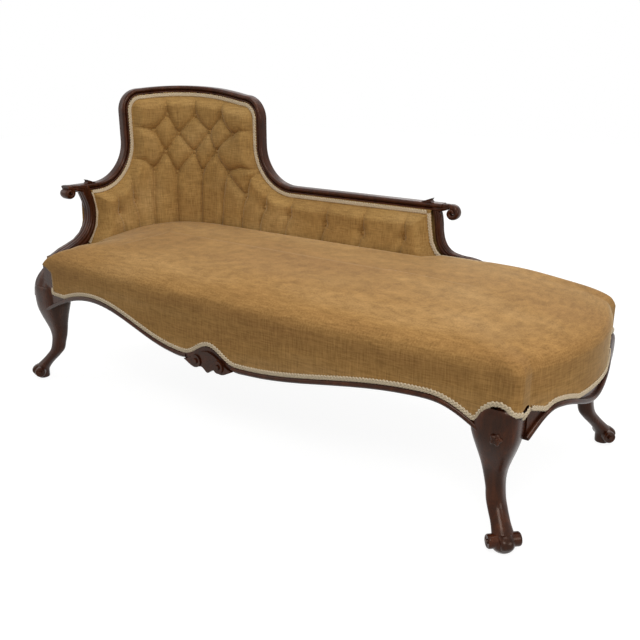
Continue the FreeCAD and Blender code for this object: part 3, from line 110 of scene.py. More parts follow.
def new_material(name):
    mat = bpy.data.materials.new(name)
    mat.use_nodes = True
    tree = mat.node_tree
    shader = tree.nodes["Principled BSDF"]
    return mat, tree, shader


def noise(tree, scale, detail=4.0, rough=0.55, vector=None, distortion=0.0):
    node = tree.nodes.new("ShaderNodeTexNoise")
    node.inputs["Scale"].default_value = scale
    node.inputs["Detail"].default_value = detail
    node.inputs["Roughness"].default_value = rough
    node.inputs["Distortion"].default_value = distortion
    if vector is not None:
        tree.links.new(vector, node.inputs["Vector"])
    return node.outputs["Fac"]


def ramp(tree, source, stops):
    node = tree.nodes.new("ShaderNodeValToRGB")
    while len(node.color_ramp.elements) < len(stops):
        node.color_ramp.elements.new(0.5)
    for element, (place, colour) in zip(node.color_ramp.elements, stops):
        element.position = place
        element.color = (*colour, 1.0)
    tree.links.new(source, node.inputs["Fac"])
    return node.outputs["Color"]


def mapped(tree, scale=(1, 1, 1)):
    where = tree.nodes.new("ShaderNodeNewGeometry")
    place = tree.nodes.new("ShaderNodeMapping")
    place.inputs["Scale"].default_value = scale
    tree.links.new(where.outputs["Position"], place.inputs["Vector"])
    return place.outputs["Vector"]


def multiplied(tree, first, second):
    """Product of two colours, each a socket or a plain colour."""
    node = tree.nodes.new("ShaderNodeMix")
    node.data_type = "RGBA"
    node.blend_type = "MULTIPLY"
    sockets = {socket.name: socket for socket in node.inputs if socket.enabled}
    sockets["Factor"].default_value = 1.0
    for key, value in (("A", first), ("B", second)):
        if isinstance(value, tuple):
            sockets[key].default_value = (*value, 1.0)
        else:
            tree.links.new(value, sockets[key])
    return next(socket for socket in node.outputs if socket.enabled)


def math_node(tree, kind, first, second):
    """Sum of two values, or what else kind says, each a socket or a number."""
    node = tree.nodes.new("ShaderNodeMath")
    node.operation = kind
    for k, value in enumerate((first, second)):
        if isinstance(value, (int, float)):
            node.inputs[k].default_value = value
        else:
            tree.links.new(value, node.inputs[k])
    return node.outputs["Value"]


def bump(tree, shader, height, strength, distance):
    node = tree.nodes.new("ShaderNodeBump")
    node.inputs["Strength"].default_value = strength
    node.inputs["Distance"].default_value = distance
    tree.links.new(height, node.inputs["Height"])
    tree.links.new(node.outputs["Normal"], shader.inputs["Normal"])


def wave(tree, scale, direction):
    node = tree.nodes.new("ShaderNodeTexWave")
    node.wave_type = "BANDS"
    node.bands_direction = direction
    node.inputs["Scale"].default_value = scale
    node.inputs["Distortion"].default_value = 0.4
    node.inputs["Detail"].default_value = 2.0
    node.inputs["Detail Scale"].default_value = 1.5
    tree.links.new(mapped(tree), node.inputs["Vector"])
    return node.outputs["Fac"]


def polished_wood():
    """Dark red-brown polish over a fine grain."""
    mat, tree, shader = new_material("show_wood_polish")
    grain = noise(tree, 60, 6, 0.65, mapped(tree, (1.0, 1.0, 0.22)), 0.5)
    body = ramp(tree, grain, [(0.28, (0.018, 0.0042, 0.0018)), (0.5, (0.048, 0.0125, 0.0045)),
                              (0.74, (0.1, 0.029, 0.0095))])
    cloud = ramp(tree, noise(tree, 5, 3), [(0.35, (0.55, 0.5, 0.5)), (0.7, (1.15, 1.05, 1.0))])
    colour = multiplied(tree, body, cloud)
    tree.links.new(colour, shader.inputs["Base Color"])
    rough = ramp(tree, noise(tree, 22, 4), [(0.3, (0.24, 0.24, 0.24)), (0.75, (0.38, 0.38, 0.38))])
    tree.links.new(rough, shader.inputs["Roughness"])
    shader.inputs["Specular IOR Level"].default_value = 0.22
    shader.inputs["Specular Tint"].default_value = (1.0, 0.72, 0.55, 1.0)
    shader.inputs["Coat Weight"].default_value = 0.1
    shader.inputs["Coat Roughness"].default_value = 0.12
    bump(tree, shader, grain, 0.1, 0.0005)
    return mat


def plain_wood():
    """Pale beech of the frame, with the grain along its length."""
    mat, tree, shader = new_material("frame_wood_plain")
    grain = noise(tree, 70, 6, 0.6, mapped(tree, (0.15, 1.0, 1.0)), 0.6)
    colour = ramp(tree, grain, [(0.3, (0.36, 0.21, 0.1)), (0.7, (0.58, 0.4, 0.22))])
    tree.links.new(colour, shader.inputs["Base Color"])
    shader.inputs["Roughness"].default_value = 0.62
    bump(tree, shader, grain, 0.25, 0.0006)
    return mat


def velvet(name, tint=(1.0, 1.0, 1.0)):
    """Gold-ochre velvet: crossed slub threads, warm and olive drifts, and a soft sheen."""
    mat, tree, shader = new_material(name)
    drift = noise(tree, 2.6, 3, 0.5)
    base = ramp(tree, drift, [(0.3, (0.33, 0.18, 0.056)), (0.5, (0.385, 0.222, 0.07)),
                              (0.7, (0.44, 0.27, 0.1))])
    lengthways = noise(tree, 190, 3, 0.6, mapped(tree, (0.16, 0.16, 1.6)))
    crossways = noise(tree, 190, 3, 0.6, mapped(tree, (1.5, 1.5, 0.14)))
    threads = math_node(tree, "ADD", math_node(tree, "MULTIPLY", lengthways, 0.5),
                        math_node(tree, "MULTIPLY", crossways, 0.5))
    fleck = ramp(tree, threads, [(0.36, (0.7, 0.68, 0.64)), (0.5, (0.98, 0.97, 0.95)),
                                 (0.64, (1.22, 1.24, 1.26))])
    colour = multiplied(tree, base, fleck)
    worn = ramp(tree, noise(tree, 9, 5, 0.65), [(0.42, (0.93, 0.93, 0.92)), (0.72, (1.1, 1.12, 1.14))])
    colour = multiplied(tree, multiplied(tree, colour, worn), tint)
    tree.links.new(colour, shader.inputs["Base Color"])
    shader.inputs["Roughness"].default_value = 0.82
    shader.inputs["Specular IOR Level"].default_value = 0.2
    shader.inputs["Sheen Weight"].default_value = 0.42
    shader.inputs["Sheen Roughness"].default_value = 0.3
    shader.inputs["Sheen Tint"].default_value = (1.0, 0.86, 0.6, 1.0)
    bump(tree, shader, threads, 0.35, 0.0008)
    return mat


def thread(name, low, high, scale=420):
    """Loose or twisted thread: two colours in a fine noise."""
    mat, tree, shader = new_material(name)
    strand = noise(tree, scale, 3, 0.6)
    colour = ramp(tree, strand, [(0.3, low), (0.68, high)])
    tree.links.new(colour, shader.inputs["Base Color"])
    shader.inputs["Roughness"].default_value = 0.88
    shader.inputs["Sheen Weight"].default_value = 0.2
    bump(tree, shader, strand, 0.5, 0.0006)
    return mat


def woven(name, low, high, scale):
    """Open weave of two crossed sets of bands."""
    mat, tree, shader = new_material(name)
    cross = math_node(tree, "MULTIPLY", wave(tree, scale, "X"), wave(tree, scale, "Y"))
    colour = ramp(tree, cross, [(0.1, low), (0.8, high)])
    tree.links.new(colour, shader.inputs["Base Color"])
    shader.inputs["Roughness"].default_value = 0.9
    bump(tree, shader, cross, 0.4, 0.0008)
    return mat


def steel(name, colour):
    """Bare metal with fine scratches."""
    mat, tree, shader = new_material(name)
    scratch = noise(tree, 180, 3, 0.6)
    tree.links.new(ramp(tree, scratch, [(0.3, tuple(0.8 * c for c in colour)), (0.7, colour)]),
                   shader.inputs["Base Color"])
    shader.inputs["Metallic"].default_value = 1.0
    shader.inputs["Roughness"].default_value = 0.38
    return mat


WOOD = polished_wood()
VELVET = velvet("velvet_gold")
BRAID = thread("braid_cream", (0.4, 0.29, 0.17), (0.82, 0.7, 0.5))

BY_SLOT = {
    "show_wood": WOOD, "frame_wood": plain_wood(), "velvet": VELVET, "braid": BRAID,
    "stuffing": thread("hair_stuffing", (0.2, 0.14, 0.08), (0.5, 0.4, 0.26), 140),
    "webbing": woven("jute_webbing", (0.32, 0.24, 0.14), (0.58, 0.46, 0.3), 90),
    "hessian": woven("hessian_cloth", (0.3, 0.23, 0.13), (0.55, 0.44, 0.27), 160),
    "bottom_cloth": woven("bottom_cotton", (0.012, 0.012, 0.012), (0.05, 0.05, 0.05), 240),
    "spring_steel": steel("coppered_wire", (0.56, 0.36, 0.22)),
    "screw_steel": steel("plain_steel", (0.55, 0.55, 0.55)),
}
for part in frame["record"]["subparts"]:
    node = NODES[part["node"]]
    node.data.materials.clear()
    node.data.materials.append(BY_SLOT[part["material_slot"]])


def piece(name, mesh, material, slot, *nodes):
    """A new piece riding on the one body, standing for some CAD nodes."""
    obj = bpy.data.objects.new(name, mesh)
    bpy.context.scene.collection.objects.link(obj)
    mesh.materials.clear()
    mesh.materials.append(material)
    for face in mesh.polygons:
        face.use_smooth = True
    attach(obj, "root")
    if nodes:
        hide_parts(*nodes)
    return obj


# Mesh helpers

SHARP = 50.0


def mesh_of(name, points, faces, sharp=SHARP):
    """Mesh with joined points, faces turned outwards and edges past an angle kept sharp."""
    mesh = bpy.data.meshes.new(name)
    mesh.from_pydata([tuple(p) for p in points], [], faces)
    body = bmesh.new()
    body.from_mesh(mesh)
    bmesh.ops.remove_doubles(body, verts=body.verts, dist=1e-6)
    bmesh.ops.recalc_face_normals(body, faces=body.faces)
    body.to_mesh(mesh)
    body.free()
    mesh.set_sharp_from_angle(angle=math.radians(sharp))
    return mesh


def rings_mesh(name, rings, closed=True, caps=True, sharp=SHARP):
    """Skin over a row of rings with the same number of points."""
    count = len(rings[0])
    points = [p for ring in rings for p in ring]
    around = count if closed else count - 1
    faces = []
    for i in range(len(rings) - 1):
        for j in range(around):
            k = (j + 1) % count
            faces.append((i * count + j, i * count + k, (i + 1) * count + k, (i + 1) * count + j))
    if caps:
        faces.append(tuple(range(count))[::-1])
        faces.append(tuple((len(rings) - 1) * count + j for j in range(count)))
    return mesh_of(name, points, faces, sharp)


def joined(name, meshes):
    """One mesh of several."""
    body = bmesh.new()
    for mesh in meshes:
        body.from_mesh(mesh)
    whole = bpy.data.meshes.new(name)
    body.to_mesh(whole)
    body.free()
    whole.set_sharp_from_angle(angle=math.radians(SHARP))
    return whole


def glide(stations, steps):
    """Smooth rows of numbers through a table of stations."""
    rows = [tuple(float(k) for k in row) for row in stations]
    rows = [rows[0]] + rows + [rows[-1]]
    path = []
    for k in range(1, len(rows) - 2):
        a, b, c, d = (np.array(row) for row in rows[k - 1:k + 3])
        for step in range(steps):
            t = step / steps
            path.append(0.5 * (2 * b + (c - a) * t + (2 * a - 5 * b + 4 * c - d) * t ** 2
                               + (3 * b - a - 3 * c + d) * t ** 3))
    path.append(np.array(rows[-1]))
    return path


def soft_square(across, along, half_a, half_b, centre, power, count=40):
    """Rounded square ring about a centre, in the plane of two directions."""
    ring = []
    for turn in turns(count):
        c, s = math.cos(turn), math.sin(turn)
        grow = (abs(c) ** power + abs(s) ** power) ** (-1 / power)
        ring.append(centre + across * (half_a * c * grow) + along * (half_b * s * grow))
    return ring


# Line of the show-wood rail, laid out as run and height

def arc_stops(a, b, c, count):
    """Points of the arc through three laid-out points."""
    ax, ay, bx, by, cx, cy = *a, *b, *c
    d = 2 * (ax * (by - cy) + bx * (cy - ay) + cx * (ay - by))
    aa, bb, cc = ax ** 2 + ay ** 2, bx ** 2 + by ** 2, cx ** 2 + cy ** 2
    ux = (aa * (by - cy) + bb * (cy - ay) + cc * (ay - by)) / d
    uy = (aa * (cx - bx) + bb * (ax - cx) + cc * (bx - ax)) / d
    r = math.hypot(ax - ux, ay - uy)
    first, mid, last = (math.atan2(y - uy, x - ux) for x, y in (a, b, c))
    if (mid - first) % (2 * math.pi) > (last - first) % (2 * math.pi):
        sweep = -((first - last) % (2 * math.pi))
    else:
        sweep = (last - first) % (2 * math.pi)
    return [(ux + r * math.cos(first + sweep * k / count), uy + r * math.sin(first + sweep * k / count))
            for k in range(count + 1)]


def line_stops(a, b, count):
    """Points of the straight line between two points, both ends among them."""
    return [(a[0] + (b[0] - a[0]) * k / count, a[1] + (b[1] - a[1]) * k / count) for k in range(count + 1)]


LEAN = math.sqrt(0.5)
ARM_TOP, BACK_TOP, OGEE = 630.0, 623.0, 130.0
HOOP_L, HOOP_R = 402.0, 982.0
LEFT_FOOT, LEFT_LOW, LEFT_TOP = (HOOP_L - OGEE, ARM_TOP), (HOOP_L, ARM_TOP + OGEE), (HOOP_L, 850.0)
CREST_L, CREST_M, CREST_R = (480.0, 933.0), (692.0, 940.0), (904.0, 913.0)
RIGHT_TOP, RIGHT_LOW, RIGHT_FOOT = (HOOP_R, 828.0), (HOOP_R, BACK_TOP + OGEE), (HOOP_R + OGEE, BACK_TOP)
RAIL_START = (181.0, ARM_TOP)
RAIL_END = (run_of_x(1187.0) - 31.0, BACK_TOP)
CREST_JOINTS = (HOOP_L, 828.0), (HOOP_R, 806.0)


def ogee_middle(foot, stile):
    return (foot[0] + LEAN * (stile[0] - foot[0]), foot[1] + (1 - LEAN) * (stile[1] - foot[1]))


def shoulder_middle(stile, crest):
    return (stile[0] + 0.27 * (crest[0] - stile[0]), stile[1] + 0.72 * (crest[1] - stile[1]))


RAIL_PARTS = [
    ("arm_rail", line_stops(RAIL_START, LEFT_FOOT, 16)),
    ("left_hoop_stile", arc_stops(LEFT_FOOT, ogee_middle(LEFT_FOOT, LEFT_LOW), LEFT_LOW, 48)
     + line_stops(LEFT_LOW, CREST_JOINTS[0], 12)),
    ("crest_rail", line_stops(CREST_JOINTS[0], LEFT_TOP, 4)
     + arc_stops(LEFT_TOP, shoulder_middle(LEFT_TOP, CREST_L), CREST_L, 30)
     + arc_stops(CREST_L, CREST_M, CREST_R, 60)
     + arc_stops(CREST_R, shoulder_middle(RIGHT_TOP, CREST_R), RIGHT_TOP, 30)
     + line_stops(RIGHT_TOP, CREST_JOINTS[1], 4)),
    ("right_hoop_stile", line_stops(CREST_JOINTS[1], RIGHT_LOW, 10)
     + arc_stops(RIGHT_LOW, ogee_middle(RIGHT_FOOT, RIGHT_LOW), RIGHT_FOOT, 48)),
    ("back_rail", line_stops(RIGHT_FOOT, RAIL_END, 60)),
]

LINE, STARTS = [], []
for name, stops in RAIL_PARTS:
    STARTS.append(max(len(LINE) - 1, 0))
    for stop in stops:
        if not LINE or math.dist(stop, LINE[-1]) > 0.5:
            LINE.append(stop)
STARTS.append(len(LINE) - 1)
LINE = np.array(LINE)
for _ in range(3):
    smoothed = LINE.copy()
    smoothed[1:-1] = 0.25 * LINE[:-2] + 0.5 * LINE[1:-1] + 0.25 * LINE[2:]
    LINE = smoothed
way = np.gradient(LINE, axis=0)
way /= np.linalg.norm(way, axis=1)[:, None]
INWARD = np.stack([way[:, 1], -way[:, 0]], axis=1)


def off_line(k, across, inset):
    """Point beside the rail's line: across towards the pad, inset towards the sitter."""
    q = LINE[k] + INWARD[k] * across
    return at(q[0], inset, q[1])


RAIL_WIDE = 23.0
RAIL_PROFILE = [
    (0, -2.5), (0, 19), (0.8, 24), (2.6, 27.6), (5.6, 29.8), (8.8, 29.6), (11.6, 27.6), (13.2, 24.6),
    (14.0, 22.2), (15.0, 21.6), (16.0, 23.2), (17.2, 25.8), (19.2, 27.0), (21.2, 26.2), (22.5, 23.8),
    (RAIL_WIDE, 20.5), (RAIL_WIDE, -2.5),
]
for (name, stops), first, last in zip(RAIL_PARTS, STARTS, STARTS[1:]):
    rings = [[off_line(k, a, d) for a, d in RAIL_PROFILE] for k in range(first, last + 1)]
    piece(name + "_moulded", rings_mesh(name, rings, sharp=62), WOOD, "show_wood", name)


# Buttoned pads of the back: one height over a laid-out grid

RIM = 26.1
ARM_FIRST, LONG_LAST = 214.0, 1682.0
ARM_END = [(400, 190), (447, 217), (487, 240), (529, 248), (569, 241), (590, 237), (612, 232), (640, 232)]
LONG_END = [(400, 1696), (465, 1682), (477, 1668), (506, 1652), (543, 1645), (583, 1640), (640, 1636)]


BUTTONS = [
    (577, 844), (692, 840), (815, 840),
    (519, 792), (617, 780), (752, 787), (863, 782),
    (561, 717), (679, 716), (783, 720),
    (511, 660), (603, 646), (714, 650), (839, 654),
    (337, 521), (416, 552), (925, 579),
    (1007, 545), (1118, 531), (1267, 518), (1411, 506), (1561, 510),
]
PLEATS = [
    (0, 3), (0, 4), (1, 4), (1, 5), (2, 5), (2, 6),
    (3, 7), (4, 7), (4, 8), (5, 8), (5, 9), (6, 9),
    (7, 10), (7, 11), (8, 11), (8, 12), (9, 12), (9, 13), (13, 16),
]
FREE_PLEATS = [
    # button, then the points that the fold passes
    (0, (572, 905)), (1, (692, 915)), (2, (818, 900)),
    (3, (470, 803), (425, 803)), (6, (905, 797), (960, 795)),
    (10, (470, 690), (420, 700)), (13, (900, 672), (960, 668)),
    (10, (500, 560), (497, 440)), (11, (598, 560), (597, 440)),
    (12, (708, 560), (705, 440)), (13, (822, 560), (812, 440)),
    (14, (345, 480), (347, 440)), (14, (335, 565), (326, 604)),
    (15, (425, 500), (428, 440)), (15, (408, 610), (404, 650)),
    (16, (912, 510), (908, 440)), (16, (948, 640), (985, 668)),
    (17, (994, 490), (990, 440)), (17, (1018, 590), (1030, 640)),
    (18, (1106, 485), (1102, 440)), (18, (1124, 575), (1126, 606)),
    (19, (1257, 480), (1253, 440)), (19, (1271, 560), (1272, 604)),
    (20, (1403, 475), (1400, 440)), (20, (1415, 560), (1416, 604)),
    (21, (1554, 475), (1552, 440)), (21, (1564, 560), (1565, 604)),
]


def to_segments(x, z, segments):
    """Least distance from grid points to any of a list of laid-out segments."""
    best = np.full(x.shape, 1e9)
    for (ax, az), (bx, bz) in segments:
        dx, dz = bx - ax, bz - az
        t = np.clip(((x - ax) * dx + (z - az) * dz) / (dx * dx + dz * dz), 0, 1)
        best = np.minimum(best, np.hypot(x - ax - t * dx, z - az - t * dz))
    return best


FACE = LINE + INWARD * RAIL_WIDE
FACE_SEGMENTS = list(zip(FACE[::2], FACE[2::2]))
END_SEGMENTS = [(a[::-1], b[::-1]) for table in (ARM_END, LONG_END) for a, b in zip(table, table[1:])]
PLEAT_SEGMENTS = [(BUTTONS[a], BUTTONS[b]) for a, b in PLEATS]
for button, *stops in FREE_PLEATS:
    PLEAT_SEGMENTS += list(zip([BUTTONS[button], *stops], stops))


def pad_depth(x, z):
    """How far the velvet of the back stands in from the outer face, at a run and height."""
    edge = np.minimum(to_segments(x, z, FACE_SEGMENTS), to_segments(x, z, END_SEGMENTS))
    fade = np.sin(np.clip((edge - 12.5) / 36.0, 0, 1) * math.pi / 2)
    body = np.interp(z, [430, 476, 520, 600, 760, 930], [71, 70, 67, 64, 61, 57])
    low = np.interp(x, [900, 1040, 1640], [0, 1, 1]) * np.interp(z, [470, 600], [0, 5])
    fold = to_segments(x, z, PLEAT_SEGMENTS)
    pull = to_segments(x, z, [(b, (b[0] + 0.1, b[1])) for b in BUTTONS])
    body = body - low - 8.5 * np.exp(-fold / 4.0) - 7.0 * np.exp(-(fold / 16.0) ** 2)
    body = body - 6.0 * np.exp(-(pull / 12.0) ** 2) - 6.5 * np.exp(-(pull / 26.0) ** 2)
    wander = 0.8 * np.sin(x / 23.0 + 1.7 * np.sin(z / 31.0)) + 0.6 * np.sin(z / 19.0 + x / 41.0)
    return RIM + (body + wander - RIM) * fade


def inside_face(x, z, grow):
    """True for laid-out points under the rail's inner edge and between the two supports."""
    line = LINE + INWARD * (RAIL_WIDE - grow)
    left, right, floor_line = ARM_FIRST - 40, LONG_LAST + 40, 300.0
    ring = [(left, floor_line), (left, ARM_TOP - RAIL_WIDE + grow)]
    ring += [tuple(p) for p in line if left < p[0] < right]
    ring += [(right, BACK_TOP - RAIL_WIDE + grow), (right, floor_line)]
    found = np.zeros(x.shape, bool)
    for (ax, az), (bx, bz) in zip(ring, ring[1:] + ring[:1]):
        if az == bz:
            continue
        crosses = (az > z) != (bz > z)
        found ^= crosses & (x < (bx - ax) * (z - az) / (bz - az) + ax)
    return found & (x > read_off(ARM_END, z) - 2) & (x < read_off(LONG_END, z) + 2)


def back_pad():
    """The velvet of the back as one grid, cut to the line of the rail and of the two supports."""
    step = 2.6
    runs = np.arange(ARM_FIRST, LONG_LAST + 16, step)
    heights = np.arange(420.0, 926.0, step)
    x, z = np.meshgrid(runs, heights, indexing="ij")
    depth = pad_depth(x, z)
    keep = inside_face(x, z, 2.5)
    number = -np.ones(x.shape, int)
    points, faces = [], []
    for i in range(len(runs)):
        for j in range(len(heights)):
            if keep[i, j]:
                number[i, j] = len(points)
                points.append(at(x[i, j], depth[i, j], z[i, j]))
    for i in range(len(runs) - 1):
        for j in range(len(heights) - 1):
            corner = (number[i, j], number[i + 1, j], number[i + 1, j + 1], number[i, j + 1])
            if min(corner) >= 0:
                faces.append(corner)
    return mesh_of("back_pad", points, faces, 180)


pad = piece("buttoned_back_pad", back_pad(), VELVET, "velvet", "head_pad_cover", "head_pad_stuffing",
            "arm_pad_cover", "arm_pad_stuffing", "long_pad_cover", "long_pad_stuffing")


def dome(run, z):
    """Covered button, a low dome with a drawn-in rim."""
    depth = float(pad_depth(np.array([float(run)]), np.array([float(z)]))[0])
    base = at(run, depth - 0.5, z)
    out = (at(run, depth + 100, z) - at(run, depth, z)).normalized()
    side = UP.cross(out).normalized()
    rings = []
    for rise, radius in ((0, 7.0), (2.6, 8.4), (4.8, 8.2), (6.8, 6.9), (8.2, 4.7), (9.0, 2.2), (9.2, 0.4)):
        middle = base + out * (rise / 1000)
        rings.append([middle + (side * math.cos(t) + UP * math.sin(t)) * (radius / 1000) for t in turns(20)])
    return rings_mesh("dome", rings, sharp=180)


domes = joined("covered_buttons", [dome(*place) for place in BUTTONS])
piece("covered_buttons", domes, VELVET, "velvet", "back_buttons")


# Braid: a twisted strip with scalloped edges along a path

BRAID_TWIST = 9.0
BRAID_STEP = 1.1
BRAID_LIFT = 0.6


def even_path(points, pitch):
    """Points, and how far along they lie, at an even pitch on a polyline in millimetres."""
    p = np.array(points, float)
    steps = np.linalg.norm(np.diff(p[:, :3], axis=0), axis=1)
    length = np.concatenate([[0], np.cumsum(steps)])
    marks = np.arange(0, length[-1], pitch)
    return marks, np.stack([np.interp(marks, length, p[:, k]) for k in range(p.shape[1])], axis=1)


def braid_mesh(path, wide=12.0, tall=3.4):
    """path rows: place xyz, outward normal xyz, all in row-frame millimetres."""
    marks, rows = even_path(path, BRAID_STEP)
    place, normal = rows[:, :3], rows[:, 3:6]
    along = np.gradient(place, axis=0)
    along /= np.linalg.norm(along, axis=1)[:, None]
    normal = normal - along * (normal * along).sum(axis=1)[:, None]
    normal /= np.linalg.norm(normal, axis=1)[:, None]
    across = np.cross(along, normal)
    rings = []
    for k, s in enumerate(marks):
        ring = []
        for j in range(11):
            u = j / 10 * 2 - 1
            scallop = 1.0 + 0.2 * math.cos(2 * math.pi * s / BRAID_TWIST + (math.pi if u > 0 else 0))
            twist = abs(math.sin(math.pi * (s / BRAID_TWIST + 0.6 * u * (1 if abs(u) < 0.6 else -1))))
            rise = tall * (0.35 + 0.65 * twist) * math.sqrt(max(0.0, 1 - u ** 6))
            point = place[k] + across[k] * (u * wide / 2 * scallop) + normal[k] * rise
            ring.append(Vector(point / 1000))
        rings.append(ring)
    return rings_mesh("braid", rings, closed=False, caps=False, sharp=180)


def braid_piece(name, paths, *nodes):
    return piece(name, joined(name, [braid_mesh(path) for path in paths]), BRAID, "braid", *nodes)


def row(point, normal):
    """Row of a braid's path, from a place and the way its face looks."""
    return (*(1000 * point), *normal)


def inwards(run):
    """Way from the outside of the back to the sitter."""
    return (at(run, 100, 0) - at(run, 0, 0)).normalized()


back_path = [row(off_line(k, 29.6, RIM + BRAID_LIFT), inwards(LINE[k][0])) for k in range(len(LINE))
             if 242 < LINE[k][0] < 1632]
braid_piece("back_braid", [back_path], "back_gimp")
left_end = [row(at(read_off(ARM_END, z) + 7, RIM + BRAID_LIFT, z), inwards(240))
            for z in range(430, 604, 3)]
right_end = [row(at(read_off(LONG_END, z) - 7, RIM + BRAID_LIFT, z), inwards(1640))
             for z in range(464, 596, 3)]
braid_piece("back_end_braid", [left_end, right_end], "back_end_gimps")


# Shaped lower edges of the front and foot rails

DIP_X, SHOULDER = 822.0, 244.0
DIP_Z, DIP_HALF, LEFT_ARCH, RIGHT_ARCH = 246.0, 95.0, (330.0, 327.0), (1470.0, 312.0)
FOOT_ARCH, FOOT_DIP = (80.0, 300.0), 262.0
FRONT_BOW, FOOT_BOW = 30.0, 57.0


def ease(a, b, part):
    """Soft step from a to b."""
    return a + (b - a) * (0.5 - 0.5 * math.cos(math.pi * part))


def arch(top, part):
    """Rise from a leg's shoulder to the top of the arch beside it."""
    return SHOULDER + (top - SHOULDER) * math.sin(part * math.pi / 2)


def front_edge(x):
    """Lower edge of the front rail: two arches that fall to the cartouche in the middle."""
    a, b = BLOCK, LONG - BLOCK
    (left, left_top), (right, right_top) = LEFT_ARCH, RIGHT_ARCH
    away = abs(x - DIP_X)
    if away < DIP_HALF:
        return ease(284.0, DIP_Z, away / DIP_HALF)
    if x <= left:
        return arch(left_top, (x - a) / (left - a))
    if x < DIP_X:
        return ease(left_top, DIP_Z, (x - left) / (DIP_X - DIP_HALF - left))
    if x <= right:
        return ease(DIP_Z, right_top, (x - DIP_X - DIP_HALF) / (right - DIP_X - DIP_HALF))
    return arch(right_top, (b - x) / (b - right))


def foot_edge(y):
    """Lower edge of the foot-end rail: an arch at each leg and a low middle."""
    wide, top = FOOT_ARCH
    reach = max(min(y, DEEP - y) - BLOCK, 0.0)
    if reach <= wide:
        return arch(top, reach / wide)
    return ease(top, FOOT_DIP, min(1.0, (reach - wide) / (DEEP / 2 - BLOCK - wide)))


def bow(part, depth):
    """Outward bow of an arc of this depth at a part of its chord."""
    return depth * (1 - (2 * part - 1) ** 2)


def front_point(x, proud, z):
    """Point on the bowed front."""
    part = (x - BLOCK) / (LONG - 2 * BLOCK)
    return world(x, -bow(min(max(part, 0), 1), FRONT_BOW) - proud, z)


def foot_point(y, proud, z):
    """Point on the bowed foot end."""
    part = (y - BLOCK) / (DEEP - 2 * BLOCK)
    return world(LONG + bow(min(max(part, 0), 1), FOOT_BOW) + proud, y, z)


def front_normal(x):
    """Way that the bowed front looks."""
    slope = 4 * FRONT_BOW / (LONG - 2 * BLOCK) * (1 - 2 * (x - BLOCK) / (LONG - 2 * BLOCK))
    return Vector((-slope, -1, 0)).normalized()


def foot_normal(y):
    """Way that the bowed foot end looks."""
    slope = 4 * FOOT_BOW / (DEEP - 2 * BLOCK) * (1 - 2 * (y - BLOCK) / (DEEP - 2 * BLOCK))
    return Vector((1, -slope, 0)).normalized()


# Seat: one shell from the lower edges of the skirt over the rolled edge to the crown

SEAT_TOP, CROWN = 476.0, 5.0
WALL_TOP = 404.0
SPINE_LEFT, SPINE_RIGHT, SPINE_Y = 330.0, 1140.0, 350.0
SEAT_ROLL = [
    # drop under the top, then how far the front, foot, rear and head sides are taken in
    (73, 0, 0, 0, 0), (62, 2, 5, 1, 0), (49, 8, 18, 4, 1), (35, 24, 60, 9, 2), (23, 48, 130, 15, 6),
    (12, 84, 205, 21, 16), (4, 128, 275, 26, 34), (0, 172, 335, 30, 60),
]
SUPPORT_SIDE, PAD_FOOT, POST_SIDE = 42.0, 73.2, 31.5
PAD_END, POST_END, REAR_START = 1129.0, 1173.0, 1386.0
ROUND = 22.0


def segment(a, b, count):
    """Points of a straight line without its last end."""
    return line_stops(a, b, count)[:-1]


def quarter(count):
    """Angles of a quarter turn, without the last."""
    return [math.pi / 2 * k / count for k in range(count)]


def seat_ring(front, foot, rear, head):
    """Level outline of the seat for a set of take-ins, with the same number of points each time."""
    left = SUPPORT_SIDE + 0.4 * head
    pad_line = PAD_FOOT + 0.3 * head
    post_line = DEEP - POST_SIDE
    rear_line = DEEP - rear
    right = LONG - foot
    turn = ROUND + 0.35 * front
    step = min(REAR_START - 0.5 * rear, right - 24)
    bow_start, bow_end = BLOCK, min(LONG - BLOCK - foot, right - turn - 1)
    y_foot = max(BLOCK + front, front + turn + 1)
    y_back = min(DEEP - BLOCK - rear, rear_line - ROUND - 1)
    bow_foot = FOOT_BOW * (1 - foot / 900)
    shoulder_y = ARM_FIRST - 6 - 0.4 * head
    r = CORNER - pad_line
    ring, marks = [], []

    def add(points, mark):
        ring.extend(points)
        marks.extend([mark] * len(points))

    def straight(mark, *stops):
        for a, b, count in zip(stops[::2], stops[2::2], stops[1::2]):
            add(segment(a, b, count), mark)

    straight("lead", (left, front), 4, (bow_start, front))
    add([(x, front - bow(k / 160, FRONT_BOW))
         for k, (x, _) in enumerate(segment((bow_start, 0), (bow_end, 0), 160))], "front")
    straight("corner_front", (bow_end, front), 8, (right - turn, front))
    add([(right - turn + turn * math.sin(t), front + turn - turn * math.cos(t)) for t in quarter(12)],
        "corner_front")
    straight("corner_front", (right, front + turn), 6, (right, y_foot))
    add([(right + bow(k / 60, bow_foot), y)
         for k, (_, y) in enumerate(segment((0, y_foot), (0, y_back), 60))], "foot")
    straight("corner_rear", (right, y_back), 6, (right, rear_line - ROUND))
    add([(right - ROUND + ROUND * math.cos(t), rear_line - ROUND + ROUND * math.sin(t)) for t in quarter(10)],
        "corner_rear")
    straight("rear", (right - ROUND, rear_line), 24, (step, rear_line))
    straight("tuck", (step, rear_line), 5, (step - 34, post_line), 16, (POST_END, post_line), 6,
             (PAD_END, DEEP - pad_line), 80, (CORNER, DEEP - pad_line))
    add([(CORNER - r * math.sin(t), STRAIGHT + r * math.cos(t)) for t in quarter(50)], "tuck")
    straight("tuck", (pad_line, STRAIGHT), 10, (pad_line, shoulder_y + 12), 4, (left, shoulder_y), 24,
             (left, front))
    return ring, marks


KNEE_ARCH = [(1586, 287), (1600, 312), (1618, 328), (1638, 332), (1658, 326), (1674, 314), (1690, 312)]
SKIRT_UP = 12.5


